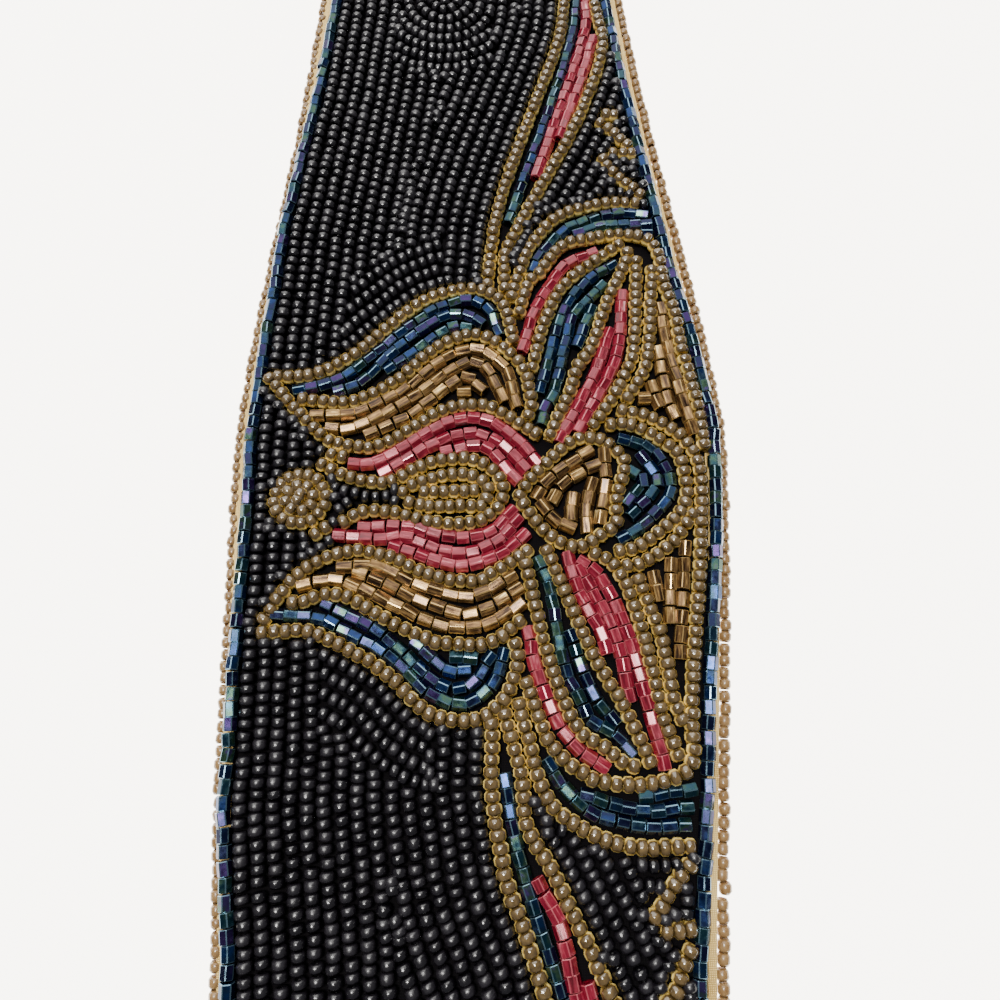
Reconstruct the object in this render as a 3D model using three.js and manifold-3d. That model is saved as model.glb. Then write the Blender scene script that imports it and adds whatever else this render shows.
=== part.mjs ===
// Beaded evening belt, laid open and flat: a cloth band with a sewn skin of glass beads.
// Millimetres. X runs across the band, Y along it, Z is up, and the cloth lies on z = 0.

import * as THREE from 'three';
import { mergeVertices } from 'three/addons/utils/BufferGeometryUtils.js';
import Module from 'manifold-3d';

// Driving dimensions
const BELT_LENGTH = 760;
const BELT_WIDTH = 69.5;
const FLOWER_LENGTH = 190;
const FLOWER_SIDE_ROOM = 2.75;
const STEM_TIP_REACH = 2.5;
const CLOTH_THICKNESS = 1.8;
const SEED_HEIGHT = 2.0;
const TUBE_HEIGHT = 1.7;
const STRING_WIDTH = 1.6;
const EDGE_BEAD_DIAMETER = 1.5;
const EDGE_TUBE_WIDTH = 1.6;
const LEFT_TUBE_INSET = 2.5;
const RIGHT_TUBE_INSET = 1.6;
const BUTTON_DIAMETER = 8.6;
const CLOTH_TAB_LENGTH = 7;
const CLASP_WIDTH = 12;
const CLASP_WIRE = 1.1;
const CLASP_REACH = 6;
const HOOK_WIDTH = 6;
const HOOK_RISE = 2.4;
const EYE_GAP = 2.6;
const CLEARANCE = 0.3;
const WELD_DISTANCE = 1e-4;

// Lengths of one step along the strings, the cloth's outline and the edge rows
const STRING_STEP = 3.3;
const OUTLINE_STEP = 16;

// Shares of a bead's height where its shoulder starts, and of the button's foot that its top has
const SHOULDER_SHARE = 0.6;
const BUTTON_TOP_SHARE = 0.8;
const END_ROOM_SHARE = 0.9;

// The band's outline. left and right are shares of half the width. along is a share of half the flower's
// length in the widened middle, and past it a share of one tail's length.
const OUTLINE = [
  { part: 'tail', along: -1.0, left: 0.565, right: 0.565 },
  { part: 'tail', along: -0.44, left: 0.595, right: 0.59 },
  { part: 'middle', along: -2.0, left: 0.64, right: 0.62 },
  { part: 'middle', along: -1.52, left: 0.705, right: 0.665 },
  { part: 'middle', along: -1.08, left: 0.81, right: 0.745 },
  { part: 'middle', along: -0.652, left: 0.912, right: 0.834 },
  { part: 'middle', along: -0.4, left: 0.962, right: 0.9 },
  { part: 'middle', along: -0.16, left: 0.983, right: 0.96 },
  { part: 'middle', along: 0.096, left: 1.0, right: 1.0 },
  { part: 'middle', along: 0.32, left: 0.95, right: 0.93 },
  { part: 'middle', along: 0.6, left: 0.86, right: 0.81 },
  { part: 'middle', along: 0.92, left: 0.778, right: 0.7 },
  { part: 'middle', along: 1.36, left: 0.675, right: 0.63 },
  { part: 'middle', along: 2.0, left: 0.62, right: 0.6 },
  { part: 'tail', along: 0.44, left: 0.59, right: 0.585 },
  { part: 'tail', along: 1.0, left: 0.565, right: 0.565 },
];

// Routes of the sewn strings of gold-lined beads, a few points each. Each stops short of those above it.
// The flower's points are stretched together until it fills the room that the band leaves it.
const STRING_ROUTES = {
  pink_petal_top: [
    [-30.2, 16.9], [-24.3, 10.2], [-21, 7.3], [-17.1, 6.3], [-14.4, 6.3], [-4.4, 12], [-0.8, 12.6],
    [1.9, 12.1], [8.3, 8.1],
  ],
  blue_leaf_top: [
    [-28.9, 17.2], [-26.3, 17.2], [-22.3, 18.1], [-18.5, 20.4], [-10.9, 27.2], [-7.2, 29.9], [-3, 31.2],
    [0.3, 31.3], [2.9, 29.9], [4.4, 27.2], [5.2, 22.8],
  ],
  bronze_leaf_top: [
    [-25.2, 13.6], [-18.1, 13.2], [-11, 17.1], [-7.8, 20.3], [-4.4, 22.7], [-0.4, 23.8], [2.1, 22.8],
    [4.9, 20.5], [6.6, 18.4], [7.7, 12.6], [7.3, 10.9],
  ],
  core: [
    [-21.8, 3.7], [-19.3, 2.3], [-12.8, 1], [-6.7, 3.9], [-1, 4.3], [1.6, 3], [3.1, 1.4], [3.5, -0.2],
    [3.2, -2.1], [1, -4.2], [-1.5, -5], [-7, -4.7], [-9.9, -3.8], [-15.7, -3.1], [-18.4, -4.6],
  ],
  pink_petal_low: [
    [-28.4, -17.8], [-24.3, -12], [-18.1, -8.8], [-12.8, -9.3], [-6.5, -12.1], [-0.2, -13], [1.9, -12],
    [6.8, -8.9],
  ],
  bronze_leaf_low: [
    [-24.7, -15.7], [-23.2, -15.6], [-20.8, -14.7], [-17.8, -14.9], [-12.1, -18.1], [-5.5, -21.1],
    [-2.9, -21.3], [1.5, -21.2], [5.6, -18.5],
  ],
  blue_leaf_low: [
    [-28.4, -19.6], [-22.9, -19.5], [-19.4, -20.8], [-12.4, -24.7], [-7.3, -29.3], [-4.9, -30.6],
    [-2, -31], [0.8, -30.6], [3.8, -27.8], [5.1, -24.5], [5.3, -23], [4.9, -21.4],
  ],
  heart: [
    [5.9, -1.1], [7.4, 1.4], [9.3, 3.3], [13.8, 7], [16.9, 7.3], [19.3, 5.7], [20.6, 3.9], [19.2, -1.8],
    [19, -5.1], [17.2, -6.6], [13.5, -8.4], [10.8, -7.4], [8.8, -5.8], [6.3, -2.3],
  ],
  top_stem_right: [
    [18, 94.6], [19.7, 86.5], [20.9, 78.6], [20.5, 75], [16.2, 62.3], [4.8, 39.1], [4.2, 36.8],
    [4, 33.9], [4.1, 28.6],
  ],
  top_stem_left: [
    [16.2, 97.5], [15.2, 92], [14.7, 86.6], [14.2, 81.8], [13.3, 77.6], [3.1, 45.2], [1.5, 32.3],
  ],
  top_arc_inner: [
    [5.4, 24.6], [8.2, 33.3], [9.4, 34.2], [13.1, 38.8], [16.8, 39.9], [22.4, 40.7], [25, 40.2],
    [26.6, 39.3], [27.7, 36.3], [27.9, 32.8], [29.4, 26.9], [29.6, 23.6], [31.6, 12.2], [32, 6.2],
  ],
  top_arc_outer: [
    [24.4, 46.3], [20.3, 46.3], [17.7, 45.8], [12.5, 43.9], [8.8, 39.8], [7.4, 37.5], [5.1, 30.1],
  ],
  plume_1: [[21.5, 38.8], [14.1, 33.1], [11.8, 30.2], [9.1, 23.4], [8.1, 18.5]],
  plume_2: [
    [22.8, 37.4], [22.3, 35.3], [19.4, 29.3], [17.2, 22.8], [16.2, 20.6], [14.5, 18.5], [13.7, 15.5],
    [10.3, 7.9],
  ],
  plume_3: [[24.1, 36], [22.7, 20.4], [20.5, 15.3], [16.6, 9.4]],
  scroll_inner: [
    [17.5, 9.1], [21.3, 9.5], [26.3, 6.7], [28.3, 4.9], [28.9, 2.2], [29.1, -0.7], [28.3, -3.1],
    [22.1, -8.3], [19.4, -9],
  ],
  scroll_outer: [
    [20.7, 11.5], [24.1, 10.7], [28.9, 7.6], [30.6, 4.9], [31, 3.3], [31.2, 1], [30.3, -9.1],
    [27.8, -27.2], [27.6, -30.3], [27.3, -32.6], [27.4, -35], [26.4, -37.2], [23.9, -38.4], [19.5, -39],
    [16.5, -38.7], [13.6, -37.7], [9.4, -34.2], [6.4, -26.3],
  ],
  plume_4: [[26.7, 37.3], [24.6, 18.7], [23.4, 16.2], [19.9, 11.1]],
  plume_7: [[16, -9.3], [18.3, -10.8], [19.7, -13], [22.6, -23.7], [23.5, -29.7], [25.3, -35.4]],
  plume_8: [[21.7, -12.9], [24.3, -21], [25.5, -29.3], [27, -32.3]],
  scroll_lower: [[29.6, -3.9], [26.3, -8.1], [22, -10.8], [20.2, -11.1]],
  plume_5: [
    [6.5, -10.7], [9, -22.2], [12.3, -31.3], [14, -33.3], [16.4, -34.6], [18.6, -36.4], [19.7, -36.7],
  ],
  plume_6: [[9.4, -8.8], [15, -22.5], [19, -29.8], [21.8, -36.2]],
  low_arc_outer: [
    [5.3, -29], [8.4, -39.9], [10.3, -42.3], [12.8, -43.9], [17.8, -45.9], [20.5, -46.2], [26, -46.1],
  ],
  low_stem_left: [
    [1.3, -30], [1.9, -32.2], [1.7, -38.6], [2.4, -44], [3.5, -49.7], [6.3, -57.3], [9.9, -69],
    [12.6, -77.6], [14.4, -86], [16.6, -97.5],
  ],
  low_stem_right: [
    [3.5, -30.3], [5.6, -38.3], [6.1, -43.5], [9, -48.6], [15.7, -62.3], [18.8, -70], [20.2, -77],
    [19.9, -86], [18.4, -94.6],
  ],
};

// Lines that part two fields lying side by side inside a stem
const PARTING_ROUTES = {
  top_stem: [
    [17.2, 96], [17.6, 85], [16.1, 76.9], [13.8, 68.7], [11.4, 61.4], [9.3, 54.2], [6.7, 45.4],
    [4.3, 39.4],
  ],
  low_stem: [
    [4.2, -41.5], [5.6, -44.6], [8.3, -52.5], [10, -56.8], [12.2, -64], [15.2, -74], [17.1, -84],
    [17.4, -96],
  ],
};

// Colours of the glass, the cloth and the clasp
const FINISHES = {
  gold: { color: 0xa98a55, roughness: 0.35, metalness: 0.2 },
  black: { color: 0x2e2b33, roughness: 0.3, metalness: 0 },
  blue: { color: 0x2a4c74, roughness: 0.3, metalness: 0.5 },
  pink: { color: 0xb8455c, roughness: 0.35, metalness: 0.2 },
  bronze: { color: 0xa87840, roughness: 0.3, metalness: 0.5 },
  champagne: { color: 0xd6b88a, roughness: 0.4, metalness: 0 },
  cloth: { color: 0xc8a860, roughness: 0.7, metalness: 0 },
  metal: { color: 0x9a9a9c, roughness: 0.35, metalness: 1 },
};

// Fields of beads. Each edge runs along strings, from point to point of their routes, and round loose corners.
const FIELDS = [
  {
    name: 'blue_leaf_top',
    finish: 'blue',
    edge: [['blue_leaf_top', 0, 9], [4.2, 23.6], ['bronze_leaf_top', 6, 0]],
  },
  {
    name: 'bronze_leaf_top',
    finish: 'bronze',
    edge: [['bronze_leaf_top', 0, 9], ['pink_petal_top', 7.6, 1]],
  },
  {
    name: 'pink_petal_top',
    finish: 'pink',
    edge: [['pink_petal_top', 3, 8], [6.5, 3], [4.6, 0.6], ['core', 6, 2], [-18, 3.2]],
  },
  {
    name: 'core',
    finish: 'gold',
    seeds: true,
    edge: [['core', 3, 11], [-10.6, -3], [-11.8, -0.6], [-9.5, 1.6]],
  },
  {
    name: 'pink_petal_low',
    finish: 'pink',
    edge: [['core', 13, 8], [5.3, -2.6], ['pink_petal_low', 7, 2], [-20.6, -7.2], [-18.9, -4.9]],
  },
  {
    name: 'bronze_leaf_low',
    finish: 'bronze',
    edge: [['pink_petal_low', 1, 6], [5.4, -11.4], [6, -14.5], ['bronze_leaf_low', 8, 1]],
  },
  { name: 'blue_leaf_low', finish: 'blue', edge: [['bronze_leaf_low', 0, 8], ['blue_leaf_low', 11, 0]] },
  {
    name: 'top_arc',
    finish: 'blue',
    edge: [['top_arc_outer', 6, 0], [27.6, 46], [28.4, 39.5], ['top_arc_inner', 7, 1]],
  },
  {
    name: 'pink_stroke_top',
    finish: 'pink',
    edge: [['top_arc_inner', 0, 4], [18.8, 39], ['plume_1', 0.4, 4]],
  },
  { name: 'plume_blue_top', finish: 'blue', edge: [['plume_1', 0.3, 4], [8.9, 11], ['plume_2', 7, 1]] },
  { name: 'plume_pink_top', finish: 'pink', edge: [['plume_2', 1.5, 7], ['plume_3', 3, 0.4]] },
  {
    name: 'bronze_patch_top',
    finish: 'bronze',
    edge: [['plume_4', 0.2, 3], ['scroll_outer', 0, 2.6], ['top_arc_inner', 12.4, 9]],
  },
  { name: 'crescent', finish: 'blue', edge: [['scroll_inner', 0, 8], ['heart', 9, 5]] },
  { name: 'heart', finish: 'bronze', edge: [['heart', 0.55, 12.3]] },
  {
    name: 'bronze_patch_low',
    finish: 'bronze',
    edge: [['scroll_lower', 0, 3], ['plume_8', 0, 2], [27.4, -29.5], ['scroll_outer', 7, 6]],
  },
  { name: 'plume_blue_low', finish: 'blue', edge: [['plume_5', 0, 5.2], ['plume_6', 2.8, 0]] },
  {
    name: 'pink_stroke_low',
    finish: 'pink',
    edge: [['plume_5', 0, 6], ['scroll_outer', 13, 17], [6.2, -19]],
  },
  { name: 'plume_pink_low', finish: 'pink', edge: [['plume_6', 0.2, 3], ['plume_7', 5, 0]] },
  {
    name: 'low_arc',
    finish: 'blue',
    edge: [['low_arc_outer', 0.7, 6], [28.6, -45.6], [28.6, -37], ['scroll_outer', 11, 16.5]],
  },
  { name: 'top_stem_blue', finish: 'blue', edge: [['top_stem_left', 0.5, 6], ['top_stem', 7, 0.6]] },
  { name: 'top_stem_pink', finish: 'pink', edge: [['top_stem_right', 0.5, 5], ['top_stem', 7, 0.7]] },
  { name: 'low_stem_blue', finish: 'blue', edge: [['low_stem_left', 2, 8.6], ['low_stem', 6.6, 0]] },
  { name: 'low_stem_pink', finish: 'pink', edge: [['low_stem_right', 2.4, 7.5], ['low_stem', 6.4, 0.8]] },
];

// Where the black ground stops inside the flowers: the stalks' middle, a leaf's tip and both stems
const GROUND_STOPS = [
  [
    [4.4, 27.4], [5, 31], [8, 34], [16, 41], [29.4, 40.5], [30.6, 32], [33, 10], [32.6, 0], [30.8, -14],
    [31, -38], [20, -39.5], [9.2, -36.4], [6.6, -36.6], [4.8, -33.4], [4.4, -30.8], [2.2, -31.6], [3, -27],
    [4.4, -22], [4.4, -19], [4.6, -11.8], [3.6, -3], [3.6, 2.6], [5.6, 8.4], [5.8, 11.2], [4.6, 20],
    [2.8, 22.6], [3, 26],
  ],
  [[-29.6, 17], [-24, 10.4], [-24, 14.6], [-26, 17]],
  [[-28.6, -18.8], [-27, -15.5], [-24.4, -12.4], [-23, -13.4], [-23.5, -16.2], [-26, -19.6]],
  [['top_stem_left', 0, 5.8], [0.6, 32.6], [0.9, 31.2], [3, 30.4], ['top_stem_right', 8, 0]],
  [['low_stem_left', 0, 9], ['low_stem_right', 8, 0]],
];

const BUTTON_CENTRE = [-24.6, -1.3];
const BUTTON_SIDES = 16;

// Where the black ground's two parts meet, as a point of the same drawing
const GROUND_SPLIT = [0, 16];

const wasm = await Module();
wasm.setup();

const halfLength = BELT_LENGTH / 2;
const halfWidth = BELT_WIDTH / 2;
const halfFlower = FLOWER_LENGTH / 2;
const tailStart = FLOWER_LENGTH;
const tailLength = halfLength - tailStart;
const group = new THREE.Group();
const beadBase = CLOTH_THICKNESS;
const cutHeight = SEED_HEIGHT + TUBE_HEIGHT;
const clothMargin = EDGE_BEAD_DIAMETER + CLEARANCE;

// The flower is drawn about the belt's middle and fills the room that the band leaves it, across and along
const drawnPoints = Object.values(STRING_ROUTES).flat();
const acrossFit = (halfWidth - FLOWER_SIDE_ROOM) / Math.max(...drawnPoints.map(([x]) => Math.abs(x)));
const alongFit = (halfFlower + STEM_TIP_REACH) / Math.max(...drawnPoints.map(([, y]) => Math.abs(y)));

function fitted([x, y]) {
  return [x * acrossFit, y * alongFit];
}

// A closed three.js geometry as a solid that can be joined and cut
function toSolid(geometry) {
  const bare = geometry.index ? geometry.toNonIndexed() : geometry.clone();
  bare.deleteAttribute('normal');
  bare.deleteAttribute('uv');
  const merged = mergeVertices(bare, WELD_DISTANCE);
  return new wasm.Manifold(new wasm.Mesh({
    numProp: 3,
    vertProperties: new Float32Array(merged.attributes.position.array),
    triVerts: new Uint32Array(merged.index.array),
  }));
}

function toGeometry(solid) {
  const mesh = solid.getMesh();
  const geometry = new THREE.BufferGeometry();
  geometry.setAttribute('position', new THREE.BufferAttribute(new Float32Array(mesh.vertProperties), 3));
  geometry.setIndex(new THREE.BufferAttribute(new Uint32Array(mesh.triVerts), 1));
  geometry.computeVertexNormals();
  return geometry;
}

function addPiece(name, solid, finish) {
  const mesh = new THREE.Mesh(toGeometry(solid), new THREE.MeshStandardMaterial(FINISHES[finish]));
  mesh.name = name;
  group.add(mesh);
}

// The flat outline given by points, raised from one height to another
function slab(points, bottom, top) {
  const outline = points.map(([x, y]) => new THREE.Vector2(x, y));
  if (!THREE.ShapeUtils.isClockWise(outline)) {
    outline.reverse();
  }
  const geometry = new THREE.ExtrudeGeometry(new THREE.Shape(outline), {
    depth: top - bottom,
    bevelEnabled: false,
    steps: 1,
  });
  geometry.translate(0, 0, bottom);
  return toSolid(geometry);
}

function curveOf(route) {
  const points = route.map(([x, y]) => new THREE.Vector3(x, y, 0));
  return new THREE.CatmullRomCurve3(points, false, 'centripetal');
}

// The room past a string's end: a small slab that reaches out from the end by the clearance
function endRoom([x, y], [nextX, nextY], width) {
  const reach = Math.hypot(x - nextX, y - nextY);
  const along = [(x - nextX) / reach, (y - nextY) / reach];
  const corner = (out, side) => [
    x + along[0] * out - along[1] * side,
    y + along[1] * out + along[0] * side,
  ];
  const half = (width * END_ROOM_SHARE) / 2;
  const inside = -half;
  return slab([
    corner(inside, -half), corner(CLEARANCE, -half), corner(CLEARANCE, half), corner(inside, half),
  ], beadBase - cutHeight, beadBase + cutHeight);
}

// A section swept along a route. Each corner of the section is [side, height above the route's base].
function sweep(curve, section, base, step) {
  const steps = Math.max(2, Math.round(curve.getLength() / step));
  const shape = new THREE.Shape(section.map(([side, height]) => new THREE.Vector2(-height, side)));
  const geometry = new THREE.ExtrudeGeometry(shape, {
    steps,
    extrudePath: curve,
    bevelEnabled: false,
    curveSegments: 1,
  });
  geometry.translate(0, 0, base);
  return toSolid(geometry);
}

// A low vault: flat where it lies on the cloth, with both upper corners taken off
function vault(width, height) {
  const half = width / 2;
  const shoulder = height * SHOULDER_SHARE;
  return [
    [-half, 0], [half, 0], [half, shoulder],
    [half / 2, height], [-half / 2, height], [-half, shoulder],
  ];
}

function block(width, height) {
  const half = width / 2;
  return [[-half, -height], [half, -height], [half, height], [-half, height]];
}

// The outline's rows, each with its place along the belt
const outlineRows = OUTLINE.map(({ part, along, left, right }) => ({
  y: part === 'middle' ? along * halfFlower : Math.sign(along) * tailStart + along * tailLength,
  left,
  right,
}));

// The outline's half widths at a place along the belt, eased between the table's rows
function outlineAt(y) {
  const rows = outlineRows;
  let row = 0;
  while (row < rows.length - 2 && rows[row + 1].y < y) {
    row += 1;
  }
  const span = rows[row + 1].y - rows[row].y;
  const share = Math.min(1, Math.max(0, (y - rows[row].y) / span));
  const eased = (side) => {
    const value = (index) => rows[Math.min(rows.length - 1, Math.max(0, index))];
    const slope = (index) => (value(index + 1)[side] - value(index - 1)[side])
      / (value(index + 1).y - value(index - 1).y);
    const start = value(row)[side];
    const end = value(row + 1)[side];
    const square = share * share;
    const cube = square * share;
    return (2 * cube - 3 * square + 1) * start + (cube - 2 * square + share) * span * slope(row)
      + (3 * square - 2 * cube) * end + (cube - square) * span * slope(row + 1);
  };
  return { left: -eased('left') * halfWidth, right: eased('right') * halfWidth };
}

function stations(endMargin) {
  const half = halfLength - endMargin;
  const count = Math.round((2 * half) / OUTLINE_STEP);
  return Array.from({ length: count + 1 }, (_, index) => -half + (2 * half * index) / count);
}

// The band's area, drawn in from its outline by a margin on each side and at both ends
function bandArea(leftMargin, rightMargin, endMargin) {
  const ys = stations(endMargin);
  const right = ys.map((y) => [outlineAt(y).right - rightMargin, y]);
  const left = ys.map((y) => [outlineAt(y).left + leftMargin, y]);
  return [...right, ...left.reverse()];
}

// The run of a row of beads beside one edge
function edgeCurve(side, inset, endMargin) {
  const sign = side === 'left' ? 1 : -1;
  return curveOf(stations(endMargin).map((y) => [outlineAt(y)[side] + sign * inset, y]));
}

const routes = {};
const curves = {};
for (const [name, route] of Object.entries({ ...STRING_ROUTES, ...PARTING_ROUTES })) {
  routes[name] = route.map(fitted);
  curves[name] = curveOf(routes[name]);
}

// Points along a string's curve, from one of its route's points to another
function stretch(name, from, to) {
  const last = routes[name].length - 1;
  const curve = curves[name];
  const share = Math.abs(to - from) / last;
  const count = Math.max(2, Math.round((curve.getLength() * share) / STRING_STEP));
  return Array.from({ length: count + 1 }, (_, index) => {
    const point = curve.getPoint((from + ((to - from) * index) / count) / last);
    return [point.x, point.y];
  });
}

function fieldOutline(edge) {
  return edge.flatMap((item) => (typeof item[0] === 'string' ? stretch(...item) : [fitted(item)]));
}

function addCloth() {
  addPiece('cloth_backing', slab(bandArea(clothMargin, clothMargin, 0), 0, CLOTH_THICKNESS), 'cloth');
}

// Both edge rows: tubes sewn on top, and smaller beads hanging beside the cloth
function addEdges() {
  const insets = { left: LEFT_TUBE_INSET, right: RIGHT_TUBE_INSET };
  const cutters = [];
  for (const [side, inset] of Object.entries(insets)) {
    const tubeCurve = edgeCurve(side, inset, CLOTH_TAB_LENGTH);
    const tubes = sweep(tubeCurve, vault(EDGE_TUBE_WIDTH, TUBE_HEIGHT), beadBase, OUTLINE_STEP);
    addPiece(`edge_tubes_${side}`, tubes, 'blue');
    const room = block(EDGE_TUBE_WIDTH + 2 * CLEARANCE, cutHeight);
    cutters.push(sweep(tubeCurve, room, beadBase, OUTLINE_STEP));
    const beadCurve = edgeCurve(side, EDGE_BEAD_DIAMETER / 2, CLOTH_TAB_LENGTH);
    const beads = sweep(beadCurve, vault(EDGE_BEAD_DIAMETER, EDGE_BEAD_DIAMETER), 0, OUTLINE_STEP);
    addPiece(`edge_beads_${side}`, beads, 'champagne');
  }
  return cutters;
}

// Every string, each stopping short of the edge rows and of the strings before it
function addStrings(edgeCutters) {
  const section = vault(STRING_WIDTH, SEED_HEIGHT);
  const roomWidth = STRING_WIDTH + 2 * CLEARANCE;
  const room = block(roomWidth, cutHeight);
  const cutters = [...edgeCutters];
  for (const name of Object.keys(STRING_ROUTES)) {
    let string = sweep(curves[name], section, beadBase, STRING_STEP);
    for (const cutter of cutters) {
      string = string.subtract(cutter);
    }
    addPiece(`${name}_string`, string, 'gold');
    const route = routes[name];
    const last = route.length - 1;
    cutters.push(sweep(curves[name], room, beadBase, STRING_STEP)
      .add(endRoom(route[0], route[1], roomWidth))
      .add(endRoom(route[last], route[last - 1], roomWidth)));
  }
  return cutters;
}

function addButton() {
  const radius = BUTTON_DIAMETER / 2;
  const [x, y] = fitted(BUTTON_CENTRE);
  const disc = new THREE.CylinderGeometry(radius * BUTTON_TOP_SHARE, radius, SEED_HEIGHT, BUTTON_SIDES);
  disc.rotateX(Math.PI / 2);
  disc.translate(x, y, beadBase + SEED_HEIGHT / 2);
  addPiece('button', toSolid(disc), 'gold');
  const reach = radius + CLEARANCE;
  const room = new THREE.CylinderGeometry(reach, reach, 2 * cutHeight, BUTTON_SIDES);
  room.rotateX(Math.PI / 2);
  room.translate(x, y, beadBase);
  return toSolid(room);
}

// The fields between the strings. Returns the room that each one takes, with its clearance all round.
function addFields(stringCutters) {
  const parting = block(CLEARANCE, cutHeight);
  const partings = Object.keys(PARTING_ROUTES)
    .map((name) => sweep(curves[name], parting, beadBase, STRING_STEP));
  const rooms = [];
  for (const { name, finish, seeds, edge } of FIELDS) {
    const outline = fieldOutline(edge);
    const height = seeds ? SEED_HEIGHT : TUBE_HEIGHT;
    let field = slab(outline, beadBase, beadBase + height);
    rooms.push(slab(outline, beadBase - cutHeight, beadBase + cutHeight));
    for (const cutter of [...stringCutters, ...partings]) {
      field = field.subtract(cutter);
    }
    addPiece(`${name}_rows`, field, finish);
  }
  return rooms;
}

// The black ground round the flowers, in two parts that meet beside the middle leaves
function addGround(cutters) {
  const area = bandArea(LEFT_TUBE_INSET, RIGHT_TUBE_INSET, CLOTH_TAB_LENGTH + CLEARANCE);
  let ground = slab(area, beadBase, beadBase + SEED_HEIGHT);
  for (const cutter of cutters) {
    ground = ground.subtract(cutter);
  }
  for (const stop of GROUND_STOPS) {
    ground = ground.subtract(slab(fieldOutline(stop), beadBase - SEED_HEIGHT, beadBase + 2 * SEED_HEIGHT));
  }
  const [, split] = fitted(GROUND_SPLIT);
  const half = CLEARANCE / 2;
  const reach = BELT_WIDTH;
  const above = [
    [-reach, split + half], [reach, split + half], [reach, BELT_LENGTH], [-reach, BELT_LENGTH],
  ];
  const below = [
    [-reach, split - half], [reach, split - half], [reach, -BELT_LENGTH], [-reach, -BELT_LENGTH],
  ];
  for (const [name, part] of Object.entries({ top: above, low: below })) {
    const room = slab(part, beadBase - SEED_HEIGHT, beadBase + 2 * SEED_HEIGHT);
    addPiece(`black_ground_${name}`, ground.intersect(room), 'black');
  }
}

// A plain hook at one end and a plain eye at the other, each lying on the cloth's tab
function addClasp() {
  const wire = CLASP_WIRE;
  const seat = halfLength - CLOTH_TAB_LENGTH + CLEARANCE + wire;
  const tip = halfLength + CLASP_REACH;
  const base = beadBase;
  const plate = slab([
    [-CLASP_WIDTH / 2, seat], [CLASP_WIDTH / 2, seat], [CLASP_WIDTH / 2, halfLength - wire],
    [HOOK_WIDTH / 2, halfLength - wire], [HOOK_WIDTH / 2, tip], [-HOOK_WIDTH / 2, tip],
    [-HOOK_WIDTH / 2, halfLength - wire], [-CLASP_WIDTH / 2, halfLength - wire],
  ], base, base + wire);
  const rise = slab([
    [-HOOK_WIDTH / 2, tip - wire], [HOOK_WIDTH / 2, tip - wire],
    [HOOK_WIDTH / 2, tip], [-HOOK_WIDTH / 2, tip],
  ], base, base + HOOK_RISE + wire);
  const back = slab([
    [-HOOK_WIDTH / 2, halfLength], [HOOK_WIDTH / 2, halfLength],
    [HOOK_WIDTH / 2, tip], [-HOOK_WIDTH / 2, tip],
  ], base + HOOK_RISE, base + HOOK_RISE + wire);
  addPiece('clasp_hook', plate.add(rise).add(back), 'metal');

  const frame = slab([
    [-CLASP_WIDTH / 2, -tip], [CLASP_WIDTH / 2, -tip], [CLASP_WIDTH / 2, -seat], [-CLASP_WIDTH / 2, -seat],
  ], base, base + wire);
  const gap = slab([
    [wire - CLASP_WIDTH / 2, wire - tip], [CLASP_WIDTH / 2 - wire, wire - tip],
    [CLASP_WIDTH / 2 - wire, wire - tip + EYE_GAP], [wire - CLASP_WIDTH / 2, wire - tip + EYE_GAP],
  ], base - wire, base + 2 * wire);
  addPiece('clasp_eye', frame.subtract(gap), 'metal');
}

addCloth();
const edgeCutters = addEdges();
const stringCutters = addStrings(edgeCutters);
const buttonCutter = addButton();
const fieldRooms = addFields(stringCutters);
addGround([...stringCutters, buttonCutter, ...fieldRooms]);
addClasp();

export default group;
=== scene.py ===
"""Looks of a beaded evening belt: glass seed beads and cut tubes sewn in strings and rows on cloth.

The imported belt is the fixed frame. Beads take the place of the string, field and ground solids that
stand for them. Sizes and places are in millimetres until a mesh is made, which is in metres.
"""

import logging
import math
from dataclasses import dataclass, field
from enum import Enum
from typing import NamedTuple

import bmesh
import bpy
import numpy as np
from mathutils import Euler, Matrix, Vector
from mathutils.bvhtree import BVHTree
from mathutils.kdtree import KDTree


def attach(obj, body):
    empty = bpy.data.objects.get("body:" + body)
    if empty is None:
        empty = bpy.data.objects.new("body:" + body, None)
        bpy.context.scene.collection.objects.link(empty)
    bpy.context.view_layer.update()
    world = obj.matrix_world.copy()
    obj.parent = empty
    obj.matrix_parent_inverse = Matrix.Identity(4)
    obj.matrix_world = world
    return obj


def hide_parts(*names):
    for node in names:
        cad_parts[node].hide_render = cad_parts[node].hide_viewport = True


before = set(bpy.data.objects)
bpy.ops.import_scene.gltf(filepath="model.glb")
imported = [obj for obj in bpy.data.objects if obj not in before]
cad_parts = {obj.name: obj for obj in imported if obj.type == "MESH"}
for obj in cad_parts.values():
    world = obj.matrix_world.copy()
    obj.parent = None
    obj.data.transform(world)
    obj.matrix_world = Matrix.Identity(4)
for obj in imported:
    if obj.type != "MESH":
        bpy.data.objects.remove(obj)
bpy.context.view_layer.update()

log = logging.getLogger("beaded_belt")

MM = 0.001
CLOTH_TOP = 1.8
FACING_THICKNESS = 0.12
SEWN_ON = CLOTH_TOP + FACING_THICKNESS
NEAR_LOW = -76.0
NEAR_TOP = 104.0
SECTION_BREAK = 4.0
SQUARE_CORNER = 1.414

Route = list[tuple[float, float]]
Colour = tuple[float, float, float]
Stops = tuple[tuple[float, Colour], ...]

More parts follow.
